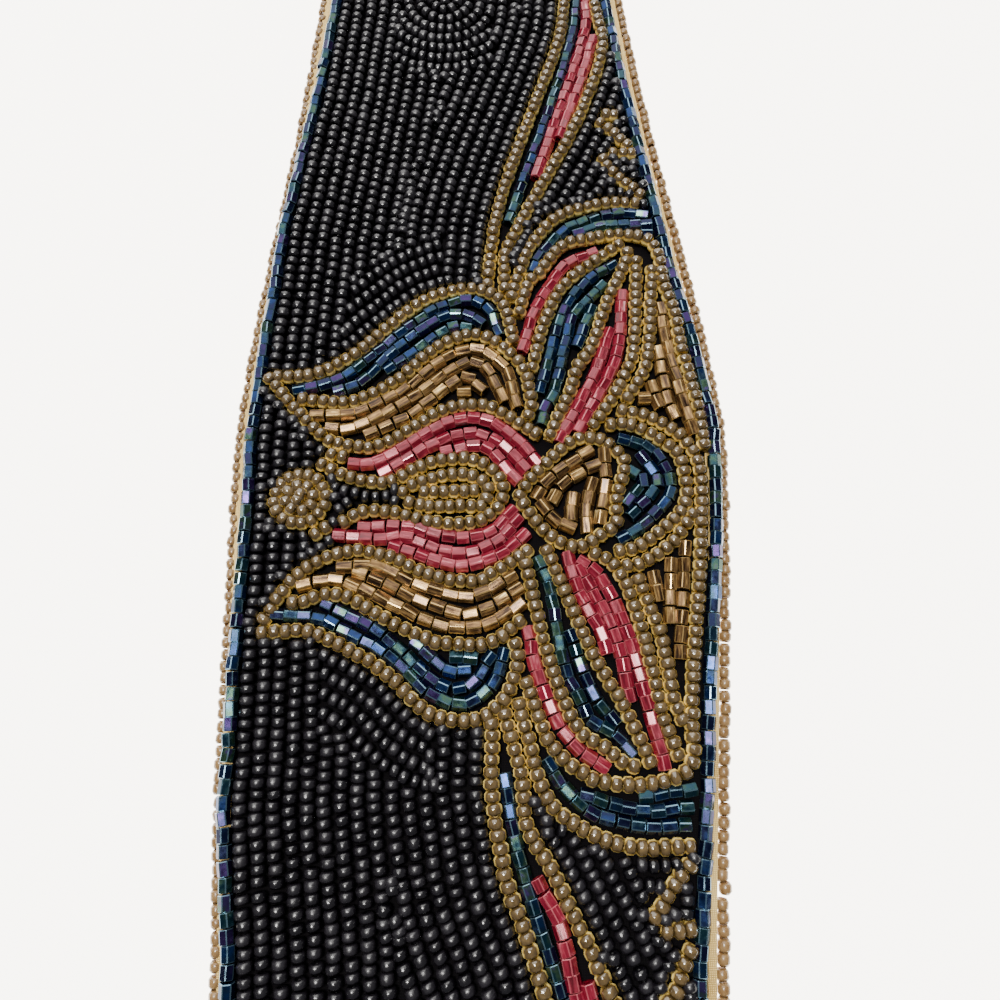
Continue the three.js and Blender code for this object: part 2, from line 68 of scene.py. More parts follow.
# Routes of the sewn strings of gold-lined beads, across and along the belt
STRINGS: dict[str, Route] = {
    "pink_petal_top": [(-30.2, 16.9), (-24.3, 10.2), (-21, 7.3), (-17.1, 6.3), (-14.4, 6.3), (-4.4, 12),
                       (-0.8, 12.6), (1.9, 12.1), (8.3, 8.1)],
    "blue_leaf_top": [(-28.9, 17.2), (-26.3, 17.2), (-22.3, 18.1), (-18.5, 20.4), (-10.9, 27.2), (-7.2, 29.9),
                      (-3, 31.2), (0.3, 31.3), (2.9, 29.9), (4.4, 27.2), (5.2, 22.8)],
    "bronze_leaf_top": [(-25.2, 13.6), (-18.1, 13.2), (-11, 17.1), (-7.8, 20.3), (-4.4, 22.7), (-0.4, 23.8),
                        (2.1, 22.8), (4.9, 20.5), (6.6, 18.4), (7.7, 12.6), (7.3, 10.9)],
    "core": [(-21.8, 3.7), (-19.3, 2.3), (-12.8, 1), (-6.7, 3.9), (-1, 4.3), (1.6, 3), (3.1, 1.4),
             (3.5, -0.2), (3.2, -2.1), (1, -4.2), (-1.5, -5), (-7, -4.7), (-9.9, -3.8),
             (-15.7, -3.1), (-18.4, -4.6)],
    "pink_petal_low": [(-28.4, -17.8), (-24.3, -12), (-18.1, -8.8), (-12.8, -9.3), (-6.5, -12.1), (-0.2, -13),
                       (1.9, -12), (6.8, -8.9)],
    "bronze_leaf_low": [(-24.7, -15.7), (-23.2, -15.6), (-20.8, -14.7), (-17.8, -14.9), (-12.1, -18.1),
                        (-5.5, -21.1), (-2.9, -21.3), (1.5, -21.2), (5.6, -18.5)],
    "blue_leaf_low": [(-28.4, -19.6), (-22.9, -19.5), (-19.4, -20.8), (-12.4, -24.7), (-7.3, -29.3),
                      (-4.9, -30.6), (-2, -31), (0.8, -30.6), (3.8, -27.8), (5.1, -24.5), (5.3, -23),
                      (4.9, -21.4)],
    "heart": [(5.9, -1.1), (7.4, 1.4), (9.3, 3.3), (13.8, 7), (16.9, 7.3), (19.3, 5.7), (20.6, 3.9),
              (19.2, -1.8), (19, -5.1), (17.2, -6.6), (13.5, -8.4), (10.8, -7.4), (8.8, -5.8), (6.3, -2.3)],
    "top_stem_right": [(18, 94.6), (19.7, 86.5), (20.9, 78.6), (20.5, 75), (16.2, 62.3), (4.8, 39.1),
                       (4.2, 36.8), (4, 33.9), (4.1, 28.6)],
    "top_stem_left": [(16.2, 97.5), (15.2, 92), (14.7, 86.6), (14.2, 81.8), (13.3, 77.6), (3.1, 45.2),
                      (1.5, 32.3)],
    "top_arc_inner": [(5.4, 24.6), (8.2, 33.3), (9.4, 34.2), (13.1, 38.8), (16.8, 39.9), (22.4, 40.7),
                      (25, 40.2), (26.6, 39.3), (27.7, 36.3), (27.9, 32.8), (29.4, 26.9), (29.6, 23.6),
                      (31.6, 12.2), (32, 6.2)],
    "top_arc_outer": [(24.4, 46.3), (20.3, 46.3), (17.7, 45.8), (12.5, 43.9), (8.8, 39.8), (7.4, 37.5),
                      (5.1, 30.1)],
    "plume_1": [(21.5, 38.8), (14.1, 33.1), (11.8, 30.2), (9.1, 23.4), (8.1, 18.5)],
    "plume_2": [(22.8, 37.4), (22.3, 35.3), (19.4, 29.3), (17.2, 22.8), (16.2, 20.6), (14.5, 18.5),
                (13.7, 15.5), (10.3, 7.9)],
    "plume_3": [(24.1, 36), (22.7, 20.4), (20.5, 15.3), (16.6, 9.4)],
    "scroll_inner": [(17.5, 9.1), (21.3, 9.5), (26.3, 6.7), (28.3, 4.9), (28.9, 2.2), (29.1, -0.7),
                     (28.3, -3.1), (22.1, -8.3), (19.4, -9)],
    "scroll_outer": [(20.7, 11.5), (24.1, 10.7), (28.9, 7.6), (30.6, 4.9), (31, 3.3), (31.2, 1), (30.3, -9.1),
                     (27.8, -27.2), (27.6, -30.3), (27.3, -32.6), (27.4, -35), (26.4, -37.2), (23.9, -38.4),
                     (19.5, -39), (16.5, -38.7), (13.6, -37.7), (9.4, -34.2), (6.4, -26.3)],
    "plume_4": [(26.7, 37.3), (24.6, 18.7), (23.4, 16.2), (19.9, 11.1)],
    "plume_7": [(16, -9.3), (18.3, -10.8), (19.7, -13), (22.6, -23.7), (23.5, -29.7), (25.3, -35.4)],
    "plume_8": [(21.7, -12.9), (24.3, -21), (25.5, -29.3), (27, -32.3)],
    "scroll_lower": [(29.6, -3.9), (26.3, -8.1), (22, -10.8), (20.2, -11.1)],
    "plume_5": [(6.5, -10.7), (9, -22.2), (12.3, -31.3), (14, -33.3), (16.4, -34.6), (18.6, -36.4),
                (19.7, -36.7)],
    "plume_6": [(9.4, -8.8), (15, -22.5), (19, -29.8), (21.8, -36.2)],
    "low_arc_outer": [(5.3, -29), (8.4, -39.9), (10.3, -42.3), (12.8, -43.9), (17.8, -45.9), (20.5, -46.2),
                      (26, -46.1)],
    "low_stem_left": [(1.3, -30), (1.9, -32.2), (1.7, -38.6), (2.4, -44), (3.5, -49.7), (6.3, -57.3),
                      (9.9, -69), (12.6, -77.6), (14.4, -86), (16.6, -97.5)],
    "low_stem_right": [(3.5, -30.3), (5.6, -38.3), (6.1, -43.5), (9, -48.6), (15.7, -62.3), (18.8, -70),
                       (20.2, -77), (19.9, -86), (18.4, -94.6)],
}

# Rows of tubes in each field, from the middle of a row's first tube to the middle of its last
ROWS: dict[str, list[Route]] = {
    "blue_leaf_top": [
        [(-25.9, 15.2), (-22.5, 15.9), (-19.1, 17.6), (-8.2, 26.8), (-4.9, 28.8), (-1.6, 29.6), (0.3, 29.1),
         (1.8, 27.8), (3, 24.4)],
        [(-20, 15.1), (-18.1, 15.6), (-16.3, 17), (-10.9, 22.6), (-4.9, 27), (-1.6, 27.1), (0.2, 25.9)],
        [(-12.8, 18.4), (-3.8, 25), (-1.8, 25)]],
    "top_arc": [
        [(8.6, 35), (9.4, 36.8), (13.2, 41.5), (14.7, 42.4), (22.1, 44.7), (25.5, 44.3)],
        [(15.5, 41), (18.8, 42.2), (26.1, 42.5)],
        [(26.1, 41.1)]],
    "plume_blue_top": [
        [(20.3, 35.3), (16.8, 32.9), (13.2, 28.3), (9.2, 15.2)],
        [(18.5, 31.7), (14.8, 27.5), (13.7, 25.5), (10.9, 14.1), (9.7, 12.2), (9.2, 10.4)],
        [(16.9, 27.6), (14.9, 22.5)]],
    "crescent": [
        [(20.6, 7.1), (24.1, 6), (25.6, 4.6), (27, 1.1), (26.9, -0.8), (26, -2.1), (21.9, -6.1), (20, -7.2)],
        [(23.2, 4.4), (24.3, 2.9), (25.1, 0.9), (24.1, -0.9), (21.5, -3.7)],
        [(21.9, 2.3), (23.1, 1), (21, -1.9)]],
    "blue_leaf_low": [
        [(-26.6, -17.3), (-21.3, -17.8), (-17.8, -19.4), (-11.2, -23.1), (-6.1, -27.7), (-2.6, -29),
         (-0.9, -28.7), (2.2, -26.2), (3.3, -22.8)],
        [(-20.1, -16.2), (-13.8, -19.2), (-4.3, -26.8), (-2.4, -27), (-0.8, -26.5), (1.6, -23.3)],
        [(-8.1, -21.4), (-3.5, -24.8), (-1.7, -24.6)],
        [(-2.9, -23), (-0.9, -23.2)]],
    "plume_blue_low": [
        [(8.3, -10.6), (9.6, -13.7), (11.4, -24.3), (13.6, -29.3), (14.5, -31), (17.9, -33.1), (19.3, -34.7)],
        [(12.3, -20.4), (15, -27.9), (17.3, -31)]],
    "low_arc": [
        [(9.1, -36.5), (11.4, -39.8), (14.4, -42.2), (21.7, -43.9), (25.6, -43.7)],
        [(13.6, -40.2), (20.4, -42), (26, -41.7)],
        [(21, -40.3), (26.5, -39.5)]],
    "top_stem_blue": [[(16.9, 93.5), (16.8, 87.2), (15.5, 78), (5, 43.7)]],
    "low_stem_blue": [[(3.5, -38.2), (5.2, -47.6), (10, -62.3), (13.8, -76), (15.6, -84), (16.4, -92)]],
    "pink_petal_top": [
        [(-17.4, 3.9), (-15.5, 3.8), (-13.5, 4.4), (-3.6, 10.2), (0.3, 10.4), (2.3, 9.7), (5.4, 7.4),
         (8.2, 4.2)],
        [(-13, 2.6), (-4.1, 7.7), (-2, 8.2), (-0.1, 8.2), (3.6, 6.5), (6.5, 3.2)],
        [(-4.4, 5.6), (-0.5, 6.3), (1.4, 5.9), (5.2, 1.5)]],
    "pink_petal_low": [
        [(-15.5, -5.4), (-9, -5.4), (-5.2, -6.6), (-1.5, -6.9), (1.9, -6.1), (4.5, -3.5)],
        [(-18.9, -6.5), (-12.8, -7.1), (-10.1, -6.8), (-4.7, -8.8), (-0.9, -9), (2.8, -7.3), (5.3, -4.7)],
        [(-11.2, -8.2), (-4, -10.6), (-2, -10.8), (3.3, -9.2), (6.2, -6.8)]],
    "pink_stroke_top": [[(17.5, 37.4), (13.7, 35.7), (12.5, 34.3), (8.5, 27.5), (6.8, 21.8)]],
    "plume_pink_top": [
        [(21.7, 30), (20.3, 19.9), (14.6, 9)],
        [(19.4, 23.8), (16.9, 17), (11.8, 7.5)]],
    "pink_stroke_low": [[(6.8, -20), (7.5, -24), (10.3, -31.3), (12.6, -34.4), (15.7, -36.7)]],
    "plume_pink_low": [
        [(12.4, -10.1), (13.6, -14.3), (16.4, -20.1), (16.9, -22)],
        [(14, -11.7), (18.1, -20.2), (19.6, -28)],
        [(14.3, -10.6), (16, -11.9), (17, -13.4), (19.4, -18.8), (23.5, -36.3)]],
    "top_stem_pink": [
        [(18, 91), (18.3, 85.5), (18.3, 82), (17.1, 76.7), (9.4, 52)],
        [(19.2, 78.2), (16.8, 69.7), (13.2, 59.4)]],
    "low_stem_pink": [
        [(7.5, -50.2), (9.7, -54.3), (11.7, -62.8), (15.2, -73), (17.6, -84), (17.8, -90)],
        [(13, -61.5), (13.4, -63), (17.2, -73.5), (18.6, -80)]],
    "bronze_leaf_top": [
        [(-22.9, 11.2), (-18.5, 11.4), (-16.4, 12), (-10.4, 15.2), (-5.2, 19.8), (-0.9, 21.5), (1.2, 21),
         (3, 19.5), (4.3, 17.8), (5.5, 13)],
        [(-20.7, 9.2), (-18.4, 9.1), (-16.1, 10), (-10.2, 13.2), (-3.2, 18.5), (-0.9, 19.4), (1.3, 18.3),
         (3.4, 14)],
        [(-15.1, 8.4), (-9.3, 11.3), (-4, 15.8), (-1.6, 16.9), (0.3, 15.4)],
        [(-1.9, 14.7)]],
    "bronze_leaf_low": [
        [(-17.9, -10.9), (-14.1, -10.7), (-8.1, -13.3), (-1.7, -15), (0.4, -14.7), (4.3, -12.5)],
        [(-15.8, -11.8), (-3.7, -17), (-1.4, -17.3), (0.8, -16.9), (5.1, -14.2)],
        [(-23.3, -13.3), (-21, -12.7), (-18.7, -12.7), (-5, -18.8), (-0.6, -19.1), (1.6, -18.6),
         (5.4, -16.4)]],
    "heart": [
        [(15.3, 5.2), (9.7, 1.1), (8.4, -0.8)],
        [(16.1, 3.1), (11.9, 0.6), (10.6, -1.3)],
        [(17.8, 4.7), (17.8, 0.1), (17, -4.3)],
        [(15.9, 0.3), (15.2, -1.7), (15, -5.3)],
        [(13.2, -1.6), (12.9, -3.6)],
        [(9.2, -2.8), (10.8, -4.6), (12.5, -5.4)]],
    "bronze_patch_top": [
        [(27.4, 27.6), (27.8, 22.6), (30.6, 8.8)],
        [(26.6, 20.5), (27.5, 13.5), (28.2, 11.3)],
        [(25.3, 15.1), (26, 12.9)],
        [(23.9, 13.4)]],
    "bronze_patch_low": [
        [(28.3, -8.7), (26.6, -22.6)],
        [(26.1, -11), (25.6, -17.8)],
        [(23.9, -12.8), (24.2, -14.8)]],
}

# Rows of gold-lined seed beads that fill the core, and the two loose squiggles beside the stems
CORE_ROWS: list[Route] = [
    [(-9.1, 0.6), (-6.4, 1.5), (-3.4, 2.1), (-0.95, 1.9), (0.5, 1.2), (1.4, 0), (1.2, -1.4)],
    [(-10.3, -0.5), (-6.5, -0.4), (-0.5, -0.3)],
    [(-9.4, -1.9), (-7.6, -2.4), (-1, -2.5), (0.5, -2.5)],
]
SQUIGGLES: dict[str, list[Route]] = {
    "squiggle_top": [
        [(25.3, 48), (23.4, 49.8), (21.6, 51.7), (19.9, 54.5)],
        [(21.6, 55.6), (24.5, 55.5)],
        [(23.9, 57.2), (21.9, 59.5), (19.9, 61.5)],
        [(20.8, 63.2), (22.1, 63)]],
    "squiggle_low": [
        [(25.8, -48.2), (23.6, -50.5), (22.1, -52.7), (20.8, -54.6), (22.4, -55.4), (25.5, -55.1)],
        [(25.2, -57.5), (24.2, -59.2), (23.5, -61.2), (22.2, -62.8)]],
}


class Skin(Enum):
    """How much form a bead's mesh has: full in the flower's stretch, plain in the long tails."""

    NEAR = "near"
    FAR = "far"


class Kind(Enum):
    """The kinds of beads, by the record's material slots, and the strip of painted glow under the gold
    strings, which has no slot of its own.
    """

    BLACK = "black_beads"
    GOLD = "gold_beads"
    CHAMPAGNE = "champagne_beads"
    BLUE = "blue_tubes"
    PINK = "pink_tubes"
    BRONZE = "bronze_tubes"
    THREAD = "gold_thread"


NAMED_KINDS: dict[str, Kind] = {
    "_string": Kind.GOLD, "core": Kind.GOLD, "button": Kind.GOLD, "squiggle": Kind.GOLD,
    "black": Kind.BLACK, "edge_beads": Kind.CHAMPAGNE, "couching": Kind.THREAD,
    "pink": Kind.PINK, "bronze": Kind.BRONZE, "heart": Kind.BRONZE,
}


def kind_of(piece: str) -> Kind:
    """The kind of bead that a piece is sewn with: the first word found in its name, or else blue tubes."""
    return next((kind for word, kind in NAMED_KINDS.items() if word in piece), Kind.BLUE)


@dataclass(frozen=True)
class BeadShape:
    """One bead's mesh as arrays that copies are laid from, its thread along X, in millimetres."""

    points: np.ndarray
    corners: np.ndarray
    sizes: np.ndarray
    facets: np.ndarray
    smooth: bool

    @classmethod
    def taken(cls, bm: bmesh.types.BMesh, smooth: bool) -> "BeadShape":
        """Reads a finished bmesh into arrays and frees it.

        Args:
            bm: the bead, closed; its face layer "facet" marks ground edges and drilled ends.
            smooth: whether its faces are shaded smooth.

        Returns:
            The bead's shape.
        """
        bmesh.ops.recalc_face_normals(bm, faces=bm.faces[:])
        bm.verts.index_update()
        layer = bm.faces.layers.float.get("facet")
        points = np.array([v.co[:] for v in bm.verts])
        corners = np.array([v.index for f in bm.faces for v in f.verts])
        sizes = np.array([len(f.verts) for f in bm.faces])
        facets = np.array([f[layer] if layer else 0.0 for f in bm.faces])
        bm.free()
        return cls(points, corners, sizes, facets, smooth)


def prism(sides: int, radius: float, length: float) -> bmesh.types.BMesh:
    """Makes a closed prism along X, with one face for each side and end.

    Args:
        sides: how many sides.
        radius: from its axis to its edges.
        length: its length.

    Returns:
        The prism.
    """
    bm = bmesh.new()
    bmesh.ops.create_cone(bm, cap_ends=True, cap_tris=False, segments=sides, radius1=radius, radius2=radius,
                          depth=length)
    bmesh.ops.rotate(bm, matrix=Matrix.Rotation(math.pi / 2, 3, "Y"), verts=bm.verts[:])
    return bm


@dataclass(frozen=True)
class SeedBead:
    """A round seed bead: a ring with a rounded section, drilled along its thread."""

    diameter: float
    length: float
    hole: float = 0.7
    sides: int = 9
    section: int = 6
    plain_length: float = 1.12
    plain_swell: float = 1.06

    def shape(self, skin: Skin) -> BeadShape:
        """The bead's mesh, or a plain drop of glass for the tails."""
        bm = bmesh.new()
        if skin is Skin.FAR:
            bmesh.ops.create_icosphere(bm, subdivisions=1, radius=self.diameter / 2)
            along = self.length / self.diameter * self.plain_length
            bmesh.ops.scale(bm, vec=(along, self.plain_swell, self.plain_swell), verts=bm.verts[:])
            return BeadShape.taken(bm, True)
        wall = (self.diameter - self.hole) / 4
        reach = math.cos(math.pi / self.section)
        bmesh.ops.create_circle(bm, segments=self.section, radius=1.0)
        bmesh.ops.rotate(bm, matrix=Matrix.Rotation(math.pi / self.section, 3, "Z"), verts=bm.verts[:])
        bmesh.ops.scale(bm, vec=(self.length / 2, wall / reach, 1.0), verts=bm.verts[:])
        bmesh.ops.translate(bm, vec=(0, self.diameter / 2 - wall, 0), verts=bm.verts[:])
        bmesh.ops.spin(bm, geom=bm.verts[:] + bm.edges[:], cent=(0, 0, 0), axis=(1, 0, 0), angle=2 * math.pi,
                       steps=self.sides, use_merge=True)
        return BeadShape.taken(bm, True)


@dataclass(frozen=True)
class CutTube:
    """A short glass tube with flat ground sides, drilled along its thread."""

    width: float
    length: float
    hole: float = 0.62
    sides: int = 6
    chamfer: float = 0.1

    def shape(self, skin: Skin) -> BeadShape:
        """The tube's mesh, with its edges broken and its hole, or a plain prism for the tails."""
        bm = prism(self.sides, self.width / 2 / math.cos(math.pi / self.sides), self.length)
        layer = bm.faces.layers.float.new("facet")
        if skin is Skin.FAR:
            return BeadShape.taken(bm, False)
        caps = [f for f in bm.faces if len(f.verts) == self.sides]
        outer = bm.edges[:]
        bmesh.ops.inset_individual(bm, faces=caps, thickness=(self.width - self.hole) / 2, depth=0.0)
        rims = [e for f in caps for e in f.edges]
        bmesh.ops.delete(bm, geom=caps, context="FACES_ONLY")
        bored = bmesh.ops.bridge_loops(bm, edges=rims)["faces"]
        broken = bmesh.ops.bevel(bm, geom=outer, offset=self.chamfer, affect="EDGES", segments=1, profile=0.5,
                                 material=-1)["faces"]
        for face in broken:
            face[layer] = 1.0
        for face in bored:
            face[layer] = -1.0
        return BeadShape.taken(bm, False)


@dataclass(frozen=True)
class FlatThread:
    """A short flat strip of painted glow under the gold strings: the yellow light through the beads' clear
    rims, laid on the cloth as a gold band.
    """

    width: float
    length: float
    height: float

    def shape(self, skin: Skin) -> BeadShape:
        """The strip's mesh, a flat lens in section."""
        bm = prism(6 if skin is Skin.NEAR else 4, 0.5, self.length)
        bmesh.ops.scale(bm, vec=(1.0, self.width, self.height), verts=bm.verts[:])
        return BeadShape.taken(bm, False)


@dataclass(frozen=True)
class Ware:
    """One kind of bead as it is bought and sewn.

    Its form, its pitch on the thread, the width that it takes up and its height; then how unevenly it is
    made, how far and by how many degrees it strays, and the share of odd ones.
    """

    form: SeedBead | CutTube | FlatThread
    pitch: float
    across: float
    height: float
    uneven: float = 0.05
    sway: float = 0.05
    turn: float = 3.0
    odd: float = 0.0


WARES: dict[Kind, Ware] = {
    Kind.BLACK: Ware(SeedBead(1.86, 1.3), pitch=1.46, across=1.86, height=1.86, uneven=0.07, sway=0.07,
                     turn=5.0, odd=0.035),
    Kind.GOLD: Ware(SeedBead(2.08, 1.48, sides=10), pitch=1.49, across=1.9, height=2.08, uneven=0.035,
                    turn=4.0),
    Kind.CHAMPAGNE: Ware(SeedBead(1.62, 1.48, hole=0.6), pitch=1.54, across=1.62, height=1.62, sway=0.08,
                         turn=5.0),
    Kind.BLUE: Ware(CutTube(1.66, 1.78), pitch=1.88, across=1.66, height=1.66),
    Kind.PINK: Ware(CutTube(1.78, 1.8), pitch=1.88, across=1.78, height=1.7, uneven=0.04, sway=0.04,
                    turn=2.5),
    Kind.BRONZE: Ware(CutTube(1.76, 2.1), pitch=2.2, across=1.76, height=1.7),
    # The strip of painted glow under the gold strings: a flat gold band that stands for light through the
    # beads' clear rims.
    Kind.THREAD: Ware(FlatThread(1.5, 1.5, 0.8), pitch=1.46, across=1.5, height=0.8),
}


def smooth_line(points: Route, step: float = 0.25) -> np.ndarray:
    """Draws one smooth line through a route's points.

    Args:
        points: the route, across and along the belt.
        step: distance between the line's samples.

    Returns:
        The samples, one row each.
    """
    if len(points) == 1:
        return np.array(points, float)
    if len(points) == 2:
        points = [points[0], tuple((np.array(points[0]) + np.array(points[1])) / 2), points[1]]
    given = np.array(points, float)
    knots = np.vstack([2 * given[0] - given[1], given, 2 * given[-1] - given[-2]])
    out = []
    for a, b, c, d in zip(knots, knots[1:], knots[2:], knots[3:]):
        spans = [math.sqrt(max(np.linalg.norm(q - p), 1e-6)) for p, q in ((a, b), (b, c), (c, d))]
        t = np.cumsum([0.0] + spans)
        count = max(2, int(np.linalg.norm(c - b) / step))
        for u in np.linspace(t[1], t[2], count, endpoint=False):
            ab = a + (b - a) * (u - t[0]) / (t[1] - t[0])
            bc = b + (c - b) * (u - t[1]) / (t[2] - t[1])
            cd = c + (d - c) * (u - t[2]) / (t[3] - t[2])
            abc = ab + (bc - ab) * (u - t[0]) / (t[2] - t[0])
            bcd = bc + (cd - bc) * (u - t[1]) / (t[3] - t[1])
            out.append(abc + (bcd - abc) * (u - t[1]) / (t[2] - t[1]))
    return np.vstack(out + [given[-1]])


def walked(line: np.ndarray) -> np.ndarray:
    """Lengths along a line of samples, from its start."""
    return np.concatenate([[0.0], np.cumsum(np.linalg.norm(np.diff(line, axis=0), axis=1))])


def point_at(line: np.ndarray, run: np.ndarray, at: np.ndarray | float) -> tuple[np.ndarray, np.ndarray]:
    """The point of a line at a length, across and along, or the points at many lengths."""
    return np.interp(at, run, line[:, 0]), np.interp(at, run, line[:, 1])


def heading(line: np.ndarray, run: np.ndarray, at: np.ndarray | float, sight: float) -> np.ndarray:
    """The direction of a line at a length.

    Args:
        line: the line's samples.
        run: the length at each sample.
        at: the length, or many lengths.
        sight: how far ahead and behind it is read.

    Returns:
        The angle, or one for each length.
    """
    ahead_x, ahead_y = point_at(line, run, np.minimum(at + sight, run[-1]))
    behind_x, behind_y = point_at(line, run, np.maximum(at - sight, 0.0))
    return np.arctan2(ahead_y - behind_y, ahead_x - behind_x)


def spaced(line: np.ndarray, pitch: float) -> list[tuple[float, float, float]]:
    """Even places along a line, both ends included.

    Args:
        line: the line's samples.
        pitch: the wanted distance, rounded to whole steps.

    Returns:
        Across, along and the thread's angle for each place.
    """
    if len(line) == 1:
        return [(line[0][0], line[0][1], 0.0)]
    run = walked(line)
    at = np.linspace(0, run[-1], max(1, round(run[-1] / pitch)) + 1)
    return list(zip(*point_at(line, run, at), heading(line, run, at, 0.4)))


def node_line(node: str) -> np.ndarray:
    """The middle line of a long edge node, read from its cross sections, from low Y to high Y."""
    points = np.array([v.co[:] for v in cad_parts[node].data.vertices]) / MM
    points = points[np.argsort(points[:, 1])]
    breaks = np.where(np.diff(points[:, 1]) > SECTION_BREAK)[0] + 1
    sections = np.split(points, breaks)
    return np.array([(s[:, 0].min() / 2 + s[:, 0].max() / 2, s[:, 1].mean()) for s in sections])


class Place(NamedTuple):
    """Where one bead lies: its middle, its thread's angle, its roll on the thread and its length factor."""

    x: float
    y: float
    z: float
    angle: float
    roll: float = 0.0
    stretch: float = 1.0


class Taken(NamedTuple):
    """A place on the cloth that a bead takes up."""

    x: float
    y: float
    angle: float
    length: float
    width: float


@dataclass
class Ledger:
    """The places already taken on the cloth, so that beads don't lie in each other."""

    cell: float = 2.6
    reach_squared: float = 7.0
    squareness: int = 3
    taken: dict[tuple[int, int], list[Taken]] = field(default_factory=dict)

    def near(self, x: float, y: float) -> list[Taken]:
        """Beads in the nine cells round a place."""
        i, j = int(x // self.cell), int(y // self.cell)
        return [b for a in (i - 1, i, i + 1) for c in (j - 1, j, j + 1) for b in self.taken.get((a, c), ())]

    def free(self, x: float, y: float, angle: float, ware: Ware, room: float) -> bool:
        """Whether a bead fits.

        Args:
            x: across the belt.
            y: along the belt.
            angle: its thread's direction.
            ware: what it is.
            room: how much of the touching distance it needs.

        Returns:
            True if it touches no bead already there.
        """
        power = self.squareness
        for other in self.near(x, y):
            dx, dy = x - other.x, y - other.y
            if dx * dx + dy * dy > self.reach_squared:
                continue
            gap = 0.0
            for turn in (angle, other.angle):
                c, s = math.cos(turn), math.sin(turn)
                u = abs(dx * c + dy * s) * 2 / (ware.form.length + other.length)
                v = abs(dy * c - dx * s) * 2 / (ware.across + other.width)
                gap += (u ** power + v ** power) ** (1 / power) / 2
            if gap < room:
                return False
        return True

    def take(self, x: float, y: float, angle: float, ware: Ware) -> None:
        """Notes a bead's place as taken."""
        key = (int(x // self.cell), int(y // self.cell))
        self.taken.setdefault(key, []).append(Taken(x, y, angle, ware.form.length, ware.across))


class Ground:
    """The black ground's area, read from its two solids, which meet at the split."""

    wall_room = 0.6
    split = 16.0
    seam_half = 0.3
    seam_step = 0.4

    def __init__(self, names: tuple[str, ...]) -> None:
        """Reads the solids' tops and their walls, but for those at the split.

        Args:
            names: the ground's nodes.
        """
        points, tops, walls = [], [], []
        for name in names:
            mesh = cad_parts[name].data
            base = len(points)
            points += [Vector(v.co) / MM for v in mesh.vertices]
            for face in mesh.polygons:
                corners = [base + i for i in face.vertices]
                middle = sum((points[i] for i in corners), Vector()) / len(corners)
                at_seam = abs(middle.y - self.split) < self.seam_half and abs(face.normal.y) > 0.9
                if face.normal.z > 0.9:
                    tops.append(corners)
                elif abs(face.normal.z) < 0.5 and not at_seam:
                    walls.append(corners)
        self.top = BVHTree.FromPolygons(points, tops)
        self.wall = BVHTree.FromPolygons(points, walls)

    def holds(self, x: float, y: float) -> bool:
        """Whether a bead's middle may lie at a place: on the ground, or just outside its wall."""
        step = self.seam_step if abs(y - self.split) < self.seam_step else 0.0
        down = Vector((0, 0, -1))
        if any(self.top.ray_cast(Vector((x, y + s, 20.0)), down)[0] for s in (0.0, step, -step)):
            return True
        return self.wall.find_nearest(Vector((x, y, CLOTH_TOP + 1.0)))[3] < self.wall_room


